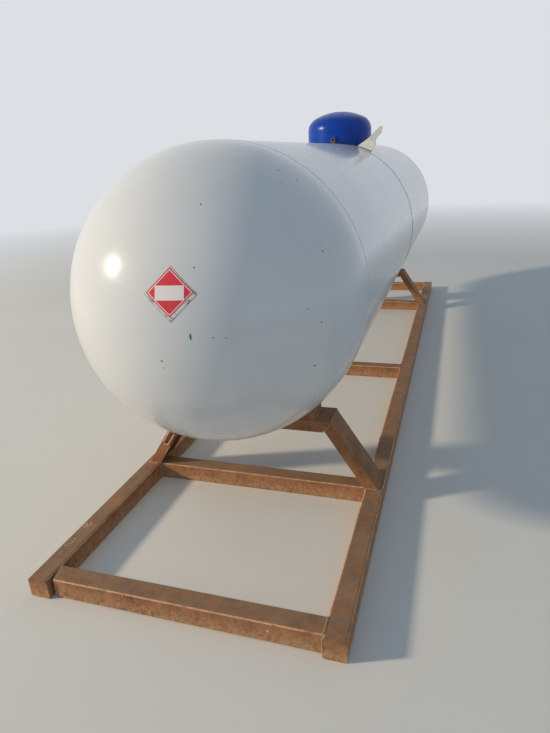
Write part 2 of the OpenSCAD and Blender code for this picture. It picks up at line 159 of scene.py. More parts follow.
class Graph:
    """A material's node tree, with short calls for the nodes that the finishes use."""

    def __init__(self, name: str) -> None:
        """Starts a material with one principled shader.

        Args:
            name: The material's name.
        """
        self.material = bpy.data.materials.new(name)
        self.material.use_nodes = True
        self.tree = self.material.node_tree
        self.shader = self.tree.nodes["Principled BSDF"]
        self.place = self.add("ShaderNodeTexCoord").outputs["Object"]

    def add(self, kind: str, **settings: object) -> bpy.types.Node:
        """Adds one node.

        Args:
            kind: The node's type name.
            **settings: Attributes to set on it.

        Returns:
            The new node.
        """
        made = self.tree.nodes.new(kind)
        for key, value in settings.items():
            setattr(made, key, value)
        return made

    def wire(self, source: Socket, target: Socket) -> None:
        """Links an output to an input."""
        self.tree.links.new(source, target)

    def feed(self, target: Socket, value: object) -> None:
        """Links a socket or sets a plain value on an input."""
        if isinstance(value, Socket):
            self.wire(value, target)
        else:
            target.default_value = value

    def fill(self, node: bpy.types.Node, **sockets: object) -> bpy.types.NodeOutputs:
        """Feeds a node's inputs by name.

        Args:
            node: The node.
            **sockets: Values or sockets by input name, with _ for a space.

        Returns:
            The node's outputs.
        """
        for key, value in sockets.items():
            self.feed(node.inputs[key.replace("_", " ")], value)
        return node.outputs

    def stretched(self, scale: tuple[float, float, float]) -> Socket:
        """Object coordinates scaled by a factor along each axis."""
        return self.fill(self.add("ShaderNodeMapping"), Scale=scale, Vector=self.place)["Vector"]

    def noise(
        self,
        scale: float,
        detail: float = 3.0,
        roughness: float = 0.55,
        place: Socket | None = None,
        distortion: float = 0.0,
    ) -> Socket:
        """Fractal noise.

        Args:
            scale: Waves per metre.
            detail: Octaves.
            roughness: How strong the finer octaves are.
            place: Coordinates, or object coordinates if left out.
            distortion: How far the pattern is pushed about.

        Returns:
            The noise's value from 0 to 1.
        """
        outputs = self.fill(
            self.add("ShaderNodeTexNoise"),
            Scale=scale,
            Detail=detail,
            Roughness=roughness,
            Distortion=distortion,
            Vector=place or self.place,
        )
        return outputs["Fac"]

    def dots(self, scale: float, inside: float, outside: float) -> Socket:
        """Dots round scattered points: 1 up to inside in each of their cells, 0 past outside."""
        outputs = self.fill(self.add("ShaderNodeTexVoronoi"), Scale=scale, Vector=self.place)
        return self.span(outputs["Distance"], inside, outside, 1.0, 0.0)

    def span(
        self, value: Socket, low: float, high: float, start: float = 0.0, end: float = 1.0
    ) -> Socket:
        """Maps a range of values onto another, with a clamp.

        Args:
            value: The value to map.
            low: Input that gives start.
            high: Input that gives end.
            start: Output at low.
            end: Output at high.

        Returns:
            The mapped value.
        """
        node = self.add("ShaderNodeMapRange", clamp=True)
        ends = {"From_Min": low, "From_Max": high, "To_Min": start, "To_Max": end}
        return self.fill(node, Value=value, **ends)["Result"]

    def maths(self, kind: str, first: object, second: object = 0.0) -> Socket:
        """One arithmetic node.

        Args:
            kind: The operation's name.
            first: Socket or number.
            second: Socket or number.

        Returns:
            The result.
        """
        made = self.add("ShaderNodeMath", operation=kind)
        self.feed(made.inputs[0], first)
        self.feed(made.inputs[1], second)
        return made.outputs[0]

    def times(self, first: object, second: object) -> Socket:
        """The product of two sockets or numbers."""
        return self.maths("MULTIPLY", first, second)

    def blend(self, amount: object, first: object, second: object) -> Socket:
        """Mixes two colours.

        Args:
            amount: 0 gives first and 1 gives second.
            first: Colour or socket.
            second: Colour or socket.

        Returns:
            The mixed colour.
        """
        made = self.add("ShaderNodeMix", data_type="RGBA")
        self.feed(made.inputs["Factor"], amount)
        first_slot, second_slot = [entry for entry in made.inputs if entry.type == "RGBA"]
        self.feed(first_slot, first)
        self.feed(second_slot, second)
        return next(entry for entry in made.outputs if entry.type == "RGBA")

    def share(self, vector: Socket, axis: str) -> Socket:
        """The number along one axis of a vector."""
        return self.fill(self.add("ShaderNodeSeparateXYZ"), Vector=vector)[axis]

    def facing(self, axis: str) -> Socket:
        """How far the surface's normal points along an object axis, from -1 to 1."""
        return self.share(self.add("ShaderNodeTexCoord").outputs["Normal"], axis)

    def along(self, axis: str) -> Socket:
        """The place along one object axis, in metres."""
        return self.share(self.place, axis)

    def near(self, axis: str, centre: float, inside: float, outside: float) -> Socket:
        """A band across an axis: 1 up to inside metres from its centre, and 0 past outside."""
        gap = self.maths("ABSOLUTE", self.maths("SUBTRACT", self.along(axis), centre))
        return self.span(gap, inside, outside, 1.0, 0.0)

    def bump(
        self, height: Socket, strength: float, distance: float, under: Socket | None = None
    ) -> Socket:
        """A bump from a height.

        Args:
            height: The height's socket.
            strength: From 0 to 1.
            distance: Depth in metres of a height of 1.
            under: A bump to build on.

        Returns:
            The normal.
        """
        node = self.add("ShaderNodeBump")
        if under is not None:
            self.wire(under, node.inputs["Normal"])
        return self.fill(node, Strength=strength, Distance=distance, Height=height)["Normal"]

    def finish(self, **sockets: object) -> Material:
        """Feeds the principled shader's inputs by name, and gives the finished material."""
        self.fill(self.shader, **sockets)
        return self.material


@dataclass(frozen=True)
class GlossTankPaint:
    """Glossy white tank enamel with faint waves, dust, run marks and painted shade beside the
    seams.
    """

    name: str = "gloss_tank_paint"
    paint: Colour = srgb(226, 226, 225)
    shade: Colour = srgb(214, 216, 218)
    dust: Colour = srgb(176, 164, 144)
    # Colour of the painted shade beside the seams.
    soot: Colour = srgb(46, 50, 58)
    speck: Colour = srgb(112, 96, 80)
    specular: float = 0.13
    coat: float = 0.4
    coat_roughness: float = 0.09
    # Each seam: its place along Y, then the strength and the half-width of its band of painted
    # shade.
    seams: tuple[tuple[float, float, float], ...] = (
        (-1.792, 0.13, 0.0075),
        (0.0, 0.8, 0.0085),
        (1.792, 0.13, 0.0075),
    )

    def build(self) -> Material:
        """Makes the material.

        Returns:
            The finished material.
        """
        g = Graph(self.name)
        patches = g.span(g.noise(1.6, 4), 0.35, 0.7)
        streaks = g.span(g.noise(9, 4, 0.55, g.stretched((1.0, 1.0, 0.16))), 0.56, 0.85)
        low = g.span(g.facing("Z"), -0.15, -0.95)
        top = g.span(g.facing("Z"), 0.72, 1.0)
        grime = g.span(g.noise(18, 5, 0.6), 0.4, 0.75)
        dusty = g.times(g.maths("MAXIMUM", low, g.times(top, 0.5)), grime)
        soft = g.maths("ADD", g.times(streaks, 0.12), g.times(dusty, 0.16))
        colour = g.blend(soft, g.blend(patches, self.paint, self.shade), self.dust)
        specks = g.times(g.dots(90, 0.03, 0.05), g.span(g.noise(22, 2), 0.64, 0.69))
        colour = g.blend(g.times(specks, 0.6), colour, self.speck)
        ragged = g.span(g.noise(160, 5, 0.7), 0.3, 0.7, 0.7, 1.0)
        # Painted shade: a ragged dark band along each seam.
        for place, strength, reach in self.seams:
            band = g.near("Y", place, reach, reach * 1.5)
            toe = g.times(band, g.times(ragged, strength))
            colour = g.blend(toe, colour, self.soot)
        waves = g.bump(g.noise(3.2, 2), 0.35, 0.006)
        peel = g.bump(g.noise(190, 2), 0.02, 0.0004, waves)
        sheen = g.span(g.noise(30, 3, 0.6), 0.3, 0.75, 0.18, 0.3)
        rough = g.maths("ADD", sheen, g.times(soft, 0.5))
        return g.finish(
            Base_Color=colour,
            Roughness=rough,
            Normal=peel,
            Specular_IOR_Level=self.specular,
            Coat_Weight=self.coat,
            Coat_Roughness=self.coat_roughness,
        )


@dataclass(frozen=True)
class HoodPaint:
    """Deep blue gloss enamel on the pressed hood."""

    name: str = "hood_paint"
    paint: Colour = srgb(0, 66, 170)
    deep: Colour = srgb(0, 50, 142)
    dust: Colour = srgb(112, 126, 150)
    chip: Colour = srgb(120, 140, 170)
    specular: float = 0.21

    def build(self) -> Material:
        """Makes the material.

        Returns:
            The finished material.
        """
        g = Graph(self.name)
        fade = g.span(g.noise(7, 4), 0.35, 0.7)
        lying = g.span(g.facing("Z"), 0.55, 1.0)
        dusty = g.times(lying, g.span(g.noise(90, 6, 0.7), 0.5, 0.8))
        colour = g.blend(g.times(dusty, 0.2), g.blend(fade, self.paint, self.deep), self.dust)
        chips = g.times(g.dots(120, 0.05, 0.08), g.span(g.noise(30, 2), 0.64, 0.7))
        colour = g.blend(g.times(chips, 0.7), colour, self.chip)
        peel = g.bump(g.noise(170, 2), 0.12, 0.0004, g.bump(g.noise(9, 2), 0.3, 0.002))
        rough = g.span(g.noise(40, 5), 0.3, 0.75, 0.24, 0.32)
        return g.finish(
            Base_Color=colour, Roughness=rough, Normal=peel, Specular_IOR_Level=self.specular
        )


@dataclass(frozen=True)
class OxideSteel:
    """Rusty oxide-painted steel, with dust lying on what faces up and a painted highlight along the
    upper round corners.
    """

    name: str = "oxide_steel"
    oxide: Colour = srgb(132, 86, 56)
    light: Colour = srgb(172, 122, 84)
    dark: Colour = srgb(66, 44, 33)
    orange: Colour = srgb(188, 118, 72)
    dust: Colour = srgb(154, 128, 102)
    damp: Colour = srgb(130, 104, 80)
    grit: Colour = srgb(112, 88, 68)
    grain: Colour = srgb(196, 174, 146)
    sand: Colour = srgb(192, 154, 116)
    dust_amount: float = 0.9
    # The next two fields: the colour and the strength of a painted highlight along the upper round
    # corners.
    worn: Colour = srgb(222, 176, 140)
    wear: float = 0.0
    specular: float = 0.35

    def build(self) -> Material:
        """Makes the material.

        Returns:
            The finished material.
        """
        g = Graph(self.name)
        broad = g.span(g.noise(9, 6, 0.65), 0.3, 0.7)
        fine = g.noise(120, 6, 0.75)
        rust = g.blend(broad, self.oxide, self.light)
        rust = g.blend(g.span(g.noise(3.5, 6, 0.7), 0.5, 0.72, 0.0, 0.5), rust, self.dark)
        pits = g.span(g.noise(38, 8, 0.75, distortion=0.5), 0.53, 0.66)
        rust = g.blend(g.times(pits, 0.6), rust, self.dark)
        blooms = g.span(g.noise(17, 7, 0.7), 0.55, 0.7, 0.0, 0.5)
        rust = g.blend(blooms, rust, self.orange)
        rust = g.blend(g.span(fine, 0.4, 0.7, 0.0, 0.22), rust, self.orange)
        runs = g.span(g.noise(60, 5, 0.65, g.stretched((1.0, 1.0, 0.1))), 0.55, 0.75, 0.0, 0.35)
        rust = g.blend(runs, rust, self.dark)
        lying = g.span(g.facing("Z"), 0.35, 0.95)
        clumps = g.span(g.noise(13, 8, 0.72), 0.36, 0.6, 0.3, 1.0)
        cover = g.times(g.times(lying, clumps), self.dust_amount)
        patchy = g.blend(g.span(g.noise(7, 7, 0.72), 0.4, 0.62), self.dust, self.damp)
        grit = g.blend(g.span(g.noise(260, 4), 0.35, 0.65, 0.0, 0.6), patchy, self.grit)
        grains = g.times(g.dots(420, 0.1, 0.2), g.span(g.noise(50, 3), 0.5, 0.66))
        grit = g.blend(g.times(grains, 0.5), grit, self.grain)
        colour = g.blend(cover, rust, grit)
        height = g.span(g.along("Z"), 0.07, 0.012)
        splash = g.times(height, g.span(g.noise(70, 8, 0.8), 0.44, 0.56, 0.08, 1.0))
        colour = g.blend(g.times(splash, 0.85), colour, self.sand)
        # Painted highlight: round corners whose normals lie between level and upright are
        # lightened, in broken streaks.
        if self.wear > 0:
            above = g.span(g.facing("Z"), 0.42, 0.58)
            corner = g.times(above, g.span(g.facing("Z"), 0.9, 0.78))
            rubbed = g.span(g.noise(26, 6, 0.7), 0.36, 0.56, 0.2, 1.0)
            colour = g.blend(g.times(g.times(corner, rubbed), self.wear), colour, self.worn)
        scale = g.bump(fine, 0.35, 0.0012, g.bump(g.noise(30, 6, 0.6), 0.3, 0.003))
        rough = g.span(g.noise(60, 4), 0.3, 0.7, 0.58, 0.9)
        return g.finish(
            Base_Color=colour, Roughness=rough, Normal=scale, Specular_IOR_Level=self.specular
        )


@dataclass(frozen=True)
class BareMetal:
    """A metal finish with brushed or cast variation."""

    name: str
    colour: Colour
    tarnish: Colour
    rough: tuple[float, float] = (0.28, 0.5)
    metallic: float = 1.0
    grain: float = 90.0

    def build(self) -> Material:
        """Makes the material.

        Returns:
            The finished material.
        """
        g = Graph(self.name)
        worn = g.span(g.noise(self.grain, 6, 0.7), 0.42, 0.72)
        colour = g.blend(g.times(worn, 0.7), self.colour, self.tarnish)
        hollows = g.span(g.noise(self.grain / 3, 5), 0.56, 0.7, 0.0, 0.45)
        colour = g.blend(hollows, colour, self.tarnish)
        rough = g.span(g.noise(self.grain * 2, 4), 0.3, 0.75, self.rough[0], self.rough[1])
        dents = g.bump(g.noise(self.grain * 4, 4), 0.2, 0.0004)
        return g.finish(Base_Color=colour, Roughness=rough, Normal=dents, Metallic=self.metallic)


@dataclass(frozen=True)
class PrintedSheet:
    """One field of a stuck-on sheet, a little sun-bleached, scratched and dirty at random."""

    name: str
    ink: Colour
    faded: Colour
    stain: Colour = srgb(120, 116, 108)
    stains: float = 0.0
    stain_level: float = 0.5
    scratched: Colour = srgb(206, 200, 190)

    def build(self) -> Material:
        """Makes the material.

        Returns:
            The finished material.
        """
        g = Graph(self.name)
        bleach = g.span(g.noise(26, 5), 0.35, 0.7, 0.0, 0.55)
        scratch = g.span(g.noise(220, 6, 0.8, g.stretched((1.0, 1.0, 0.25))), 0.64, 0.72, 0.0, 0.4)
        colour = g.blend(scratch, g.blend(bleach, self.ink, self.faded), self.scratched)
        if self.stains > 0:
            level = self.stain_level
            spots = g.span(g.noise(75, 6, 0.75), level, level + 0.1, 0.0, self.stains)
            colour = g.blend(spots, colour, self.stain)
        film = g.bump(g.noise(140, 3), 0.1, 0.0003)
        rough = g.span(g.noise(60, 3), 0.3, 0.7, 0.3, 0.48)
        return g.finish(Base_Color=colour, Roughness=rough, Normal=film)


@dataclass(frozen=True)
class ClearCover:
    """The gauge's clear cover, with fine scratches."""

    name: str = "clear_cover"
    clean: Colour = (0.96, 0.97, 0.96, 1.0)
    yellowed: Colour = (0.88, 0.9, 0.87, 1.0)
    bending: float = 1.3

    def build(self) -> Material:
        """Makes the material.

        Returns:
            The finished material.
        """
        g = Graph(self.name)
        hazy = g.span(g.noise(120, 6, 0.7), 0.45, 0.75, 0.03, 0.2)
        film = g.bump(g.noise(300, 4, 0.8, g.stretched((1.0, 0.1, 1.0))), 0.08, 0.0002)
        tint = g.blend(g.span(g.noise(60, 3), 0.4, 0.7), self.clean, self.yellowed)
        clear = {"Transmission_Weight": 1.0, "IOR": self.bending}
        return g.finish(Base_Color=tint, Roughness=hazy, Normal=film, **clear)


Finish = GlossTankPaint | HoodPaint | OxideSteel | BareMetal | PrintedSheet | ClearCover


def made(finish: Finish) -> Any:
    """A field whose material is built when the paints are mixed."""
    return field(default_factory=finish.build)


@dataclass
class Paints:
    """Every finish of the tank, built once."""

    tank: Material = made(GlossTankPaint())
    chipped: Material = made(
        PrintedSheet(
            "chipped_white", srgb(232, 230, 226), srgb(206, 200, 190), srgb(122, 88, 64), stains=0.8
        )
    )
    hood: Material = made(HoodPaint())
    # A lighter blue for the hood's rim and rounded edges: a painted highlight.
    hood_edge: Material = made(HoodPaint("hood_highlight_paint", srgb(92, 140, 206), srgb(44, 98, 178)))
    # The tubes' finish paints a highlight along their upper round corners.
    tube: Material = made(OxideSteel("oxide_tube", wear=0.9))
    skid: Material = made(OxideSteel())
    # A lighter oxide for rounded edges and the knee strips: a painted highlight.
    skid_edge: Material = made(
        OxideSteel("oxide_painted_highlight", srgb(178, 136, 102), srgb(204, 164, 128), dust_amount=0.3)
    )
    skid_bead: Material = made(
        OxideSteel("skid_weld", srgb(150, 108, 78), srgb(190, 150, 116), dust_amount=0.5)
    )
    # A darker oxide, for the end caps' seams and the side bracket's foot fillet and rounded edges.
    dirt: Material = made(
        OxideSteel(
            "dark_oxide",
            srgb(104, 88, 72),
            srgb(140, 122, 100),
            srgb(52, 44, 38),
            dust_amount=0.4,
        )
    )
    rust: Material = made(
        BareMetal(
            "rusty_small_steel",
            srgb(104, 90, 82),
            srgb(70, 50, 38),
            (0.5, 0.8),
            metallic=0.3,
            grain=140.0,
        )
    )
    wire: Material = made(
        BareMetal(
            "loop_steel",
            srgb(196, 154, 128),
            srgb(132, 84, 60),
            (0.45, 0.75),
            metallic=0.2,
            grain=120.0,
        )
    )
    # A dark grey matte finish for the middle weld bead: painted shade along the seam.
    sooty: Material = made(
        BareMetal(
            "seam_shade_bead",
            srgb(84, 86, 92),
            srgb(48, 50, 56),
            (0.8, 0.98),
            metallic=0.0,
            grain=110.0,
        )
    )
    brass: Material = made(
        BareMetal("valve_brass", srgb(196, 160, 92), srgb(122, 92, 52), (0.25, 0.5))
    )
    zinc: Material = made(
        BareMetal("gauge_zinc", srgb(190, 192, 194), srgb(140, 142, 146), (0.3, 0.5))
    )
    bracket: Material = made(
        PrintedSheet(
            "bracket_white",
            srgb(240, 237, 230),
            srgb(222, 217, 207),
            srgb(122, 112, 102),
            stains=0.5,
            stain_level=0.57,
        )
    )
    rubber: Material = made(PrintedSheet("cap_rubber", srgb(44, 44, 46), srgb(70, 68, 66)))
    wheel: Material = made(
        PrintedSheet(
            "wheel_enamel", srgb(150, 34, 30), srgb(172, 70, 58), srgb(90, 60, 46), stains=0.5
        )
    )
    sand: Material = made(
        PrintedSheet(
            "rubbed_sand", srgb(206, 182, 144), srgb(176, 150, 114), srgb(138, 106, 76), stains=0.7
        )
    )
    red: Material = made(PrintedSheet("sign_red", srgb(224, 40, 56), srgb(228, 78, 88)))
    white: Material = made(PrintedSheet("sign_white", srgb(246, 240, 238), srgb(238, 224, 222)))
    border: Material = made(
        PrintedSheet(
            "sign_border", srgb(226, 222, 216), srgb(204, 198, 190), srgb(74, 72, 70), stains=0.75
        )
    )
    grime: Material = made(
        PrintedSheet(
            "sign_grime", srgb(96, 92, 88), srgb(160, 156, 150), srgb(48, 46, 44), stains=0.8
        )
    )
    black: Material = made(PrintedSheet("dial_black", srgb(28, 28, 30), srgb(48, 48, 50)))
    green: Material = made(PrintedSheet("green_fleck", srgb(24, 122, 98), srgb(60, 140, 116)))
    clear: Material = made(ClearCover())


class Maker:
    """Turns a bmesh into a finished piece that rides on a body."""

    WELD_REACH = 0.00001
    EDGE_DEGREES = 40
    FLAKE_RISE = 0.0004
    FLAKE_SIDES = 11
    BEAD_SIDES = 8
    BEAD_RIPPLE = 0.09

    @staticmethod
    def piece(
        name: str,
        shape: Shape,
        material: Material | Sequence[Material],
        body: Body,
        slot: Slot,
        sharp: float,
    ) -> bpy.types.Object:
        """Makes an object at the origin from a bmesh in the row's frame.

        Args:
            name: The piece's name.
            shape: Its mesh, which is freed.
            material: One material, or one per material index.
            body: The CAD body it rides on.
            slot: Not used.
            sharp: Edges over this many degrees stay sharp.

        Returns:
            The new object.
        """
        mesh = bpy.data.meshes.new(name)
        shape.to_mesh(mesh)
        shape.free()
        for polygon in mesh.polygons:
            polygon.use_smooth = True
        mesh.set_sharp_from_angle(angle=math.radians(sharp))
        for entry in material if isinstance(material, (list, tuple)) else [material]:
            mesh.materials.append(entry)
        made = put_in_scene(name, mesh)
        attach(made, body.value)
        LOG.info("piece %s: %d faces", name, len(mesh.polygons))
        return made

    @staticmethod
    def dress(
        node: str, material: Material, bevel: float = 0.0, edge: Material | None = None
    ) -> None:
        """Gives a CAD node its finish and rounds its edges a little.

        Args:
            node: The CAD node's name.
            material: Its finish.
            bevel: Radius of the small edge rounds in metres, or 0 for none.
            edge: The finish of the rounded edges, where it differs: a painted highlight on the hood
                and skid pieces, a darker oxide on the side bracket.
        """
        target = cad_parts[node]
        target.data.materials.clear()
        target.data.materials.append(material)
        if edge is not None:
            target.data.materials.append(edge)
        if bevel > 0:
            weld = target.modifiers.new("weld", "WELD")
            weld.merge_threshold = Maker.WELD_REACH
            rounds = target.modifiers.new("rounds", "BEVEL")
            rounds.width = bevel
            rounds.segments = 2
            rounds.limit_method = "ANGLE"
            rounds.angle_limit = math.radians(Maker.EDGE_DEGREES)
            rounds.material = 1 if edge is not None else -1
            even = target.modifiers.new("even_normals", "WEIGHTED_NORMAL")
            even.keep_sharp = True
        LOG.info("dressed %s", node)

    @staticmethod
    def rope(
        path: Sequence[Vector],
        normals: Sequence[Vector],
        radius: float,
        sides: int = 8,
        ripple: float = 0.0,
        seed: int = 1,
        closed: bool = False,
    ) -> Shape:
        """A round bar swept along a path, rippled like a hand-laid weld where asked.

        Args:
            path: Points along it.
            normals: The outward side at each point.
            radius: Its radius in metres.
            sides: Sides of its section.
            ripple: Share of the radius by which it swells and narrows.
            seed: Start of its small irregularities.
            closed: Whether its end meets its start.

        Returns:
            The bar's mesh.
        """
        random = Random(seed)
        last = len(path) - 1
        frames = []
        for index, (place, normal) in enumerate(zip(path, normals)):
            before = path[index - 1] if index > 0 or closed else place
            after = path[index + 1] if index < last else (path[0] if closed else place)
            along = (after - before).normalized()
            side = normal.cross(along).normalized()
            swell = 1 + ripple * ((1 if index % 2 else -1) + random.uniform(-0.6, 0.6))
            turn = Matrix((side, along.cross(side), along)).transposed().to_4x4()
            frames.append(Matrix.Translation(place) @ turn @ Matrix.Scale(swell, 4))
        shape = bmesh.new()
        start = frames[0]
        bmesh.ops.create_circle(shape, cap_ends=False, radius=radius, segments=sides, matrix=start)
        first = edges = shape.edges[:]
        for before, after in zip(frames, frames[1:]):
            out = bmesh.ops.extrude_edge_only(shape, edges=edges)["geom"]
            edges = [entry for entry in out if isinstance(entry, bmesh.types.BMEdge)]
            moved = [entry for entry in out if isinstance(entry, bmesh.types.BMVert)]
            bmesh.ops.transform(shape, matrix=after @ before.inverted(), verts=moved)
        if closed:
            bmesh.ops.bridge_loops(shape, edges=[*first, *edges])
        else:
            rims = [edge for edge in shape.edges if edge.is_boundary]
            bmesh.ops.holes_fill(shape, edges=rims, sides=0)
        bmesh.ops.recalc_face_normals(shape, faces=shape.faces)
        return shape

    @staticmethod
    def corners(points: Sequence[Vector], step: float = 0.003) -> list[Vector]:
        """Points at even steps along a line with corners.

        Args:
            points: The line's corners in order.
            step: Greatest distance between two of the points.

        Returns:
            The points, from the first corner to the last.
        """
        path = [points[0]]
        for start, end in zip(points, points[1:]):
            count = max(1, math.ceil((end - start).length / step))
            path.extend(start.lerp(end, (index + 1) / count) for index in range(count))
        return path

    @staticmethod
    def bead(points: Sequence[Vector], normal: Vector, width: float, seed: int = 1) -> Shape:
        """A rippled weld bead of a width along straight lines, which stands up towards normal."""
        path = Maker.corners(points)
        sides, ripple = Maker.BEAD_SIDES, Maker.BEAD_RIPPLE
        return Maker.rope(path, [normal] * len(path), width / 2, sides, ripple, seed)

    @staticmethod
    def join(parts: Iterable[Shape]) -> Shape:
        """Gathers several bmeshes into one.

        Args:
            parts: The bmeshes, which are freed.

        Returns:
            One bmesh with all of them.
        """
        whole = bmesh.new()
        for part in parts:
            scrap = bpy.data.meshes.new("scrap")
            part.to_mesh(scrap)
            part.free()
            whole.from_mesh(scrap)
            bpy.data.meshes.remove(scrap)
        return whole

    @staticmethod
    def spun(
        outline: Sequence[tuple[float, float]], matrix: Matrix, steps: int = 64, ring: bool = False
    ) -> Shape:
        """A turned form from a profile of radius and height.

        Args:
            outline: Radius and height pairs, from the axis to the axis, or round a ring's section.
            matrix: Where the turned form goes.
            steps: Sides of the full turn.
            ring: Whether the outline's end joins its start.

        Returns:
            The closed mesh.
        """
        shape = bmesh.new()
        verts = [shape.verts.new((radius, 0.0, height)) for radius, height in outline]
        follow = [*verts[1:], verts[0]] if ring else verts[1:]
        edges = [shape.edges.new(pair) for pair in zip(verts, follow)]
        bmesh.ops.spin(
            shape,
            geom=verts + edges,
            axis=UP,
            cent=(0, 0, 0),
            angle=math.tau,
            steps=steps,
            use_merge=True,
        )
        bmesh.ops.remove_doubles(shape, verts=shape.verts, dist=1e-6)
        bmesh.ops.recalc_face_normals(shape, faces=shape.faces)
        bmesh.ops.transform(shape, matrix=matrix, verts=shape.verts)
        return shape

    @staticmethod
    def thicken(shape: Shape, height: float) -> None:
        """Gives a flat sheet a thickness along Z.

        Args:
            shape: The sheet's mesh.
            height: The thickness in metres.
        """
        raised = bmesh.ops.extrude_face_region(shape, geom=shape.faces[:])["geom"]
        lifted = [entry for entry in raised if isinstance(entry, bmesh.types.BMVert)]
        bmesh.ops.translate(shape, vec=(0, 0, height), verts=lifted)

    @staticmethod
    def fleck(
        place: Vector, out: Vector, size: float, random: Random, stretch: float = 1.0
    ) -> Shape:
        """A small ragged flake lying on a surface.

        Args:
            place: Its middle, on the surface.
            out: The surface's outward direction.
            size: Its radius in metres.
            random: Source of its raggedness.
            stretch: Length over width.

        Returns:
            The flake's mesh.
        """
        shape = bmesh.new()
        bmesh.ops.create_circle(shape, cap_ends=True, radius=size, segments=Maker.FLAKE_SIDES)
        for vert in shape.verts:
            vert.co *= random.uniform(0.6, 1.25)
        bmesh.ops.scale(shape, vec=(stretch, 1 / stretch, 1), verts=shape.verts)
        Maker.thicken(shape, Maker.FLAKE_RISE)
        bmesh.ops.recalc_face_normals(shape, faces=shape.faces)
        turn = out.to_track_quat("Z", "X").to_matrix().to_4x4()
        bmesh.ops.transform(shape, matrix=Matrix.Translation(place) @ turn, verts=shape.verts)
        return shape


@dataclass(frozen=True)
class TankForm:
    """The outer form of the shell, which everything on it is set against."""

    radius: float = 0.5205
    axis_height: float = 0.9375
    seam: float = 1.792
    skirt: float = 0.04
    hood_place: float = 0.342
    fitting_out: float = 0.092

    def lengthways(self, end: End, place: float = 0.0) -> Matrix:
        """The matrix that lays a turned form towards one end, from a place along Y."""
        turn = Matrix.Rotation(math.radians(90 if end is End.FRONT else -90), 4, "X")
        return Matrix.Translation((0, place, self.axis_height)) @ turn

    def out(self, across: float) -> Vector:
        """The outward direction of the upper shell at a distance across the tank."""
        return Vector((across, 0, math.sqrt(self.radius**2 - across**2))) / self.radius

    def on_course(self, across: float, place: float) -> Vector:
        """A point on the upper shell, across from its axis and at a place along Y."""
        return self.out(across) * self.radius + Vector((0, place, self.axis_height))

    def on_head(self, across: float, up: float, lift: float) -> Vector:
        """A point on the front head's skin.

        Args:
            across: X from the tank's axis.
            up: Z from the tank's axis.
            lift: Height above the skin.

        Returns:
            The point in the row's frame.
        """
        reach = math.sqrt(max(self.radius**2 - across**2 - up**2, 0.0))
        out = Vector((across, -reach, up)).normalized() * (self.radius + lift)
        return Vector((out.x, out.y - self.seam - self.skirt, out.z + self.axis_height))


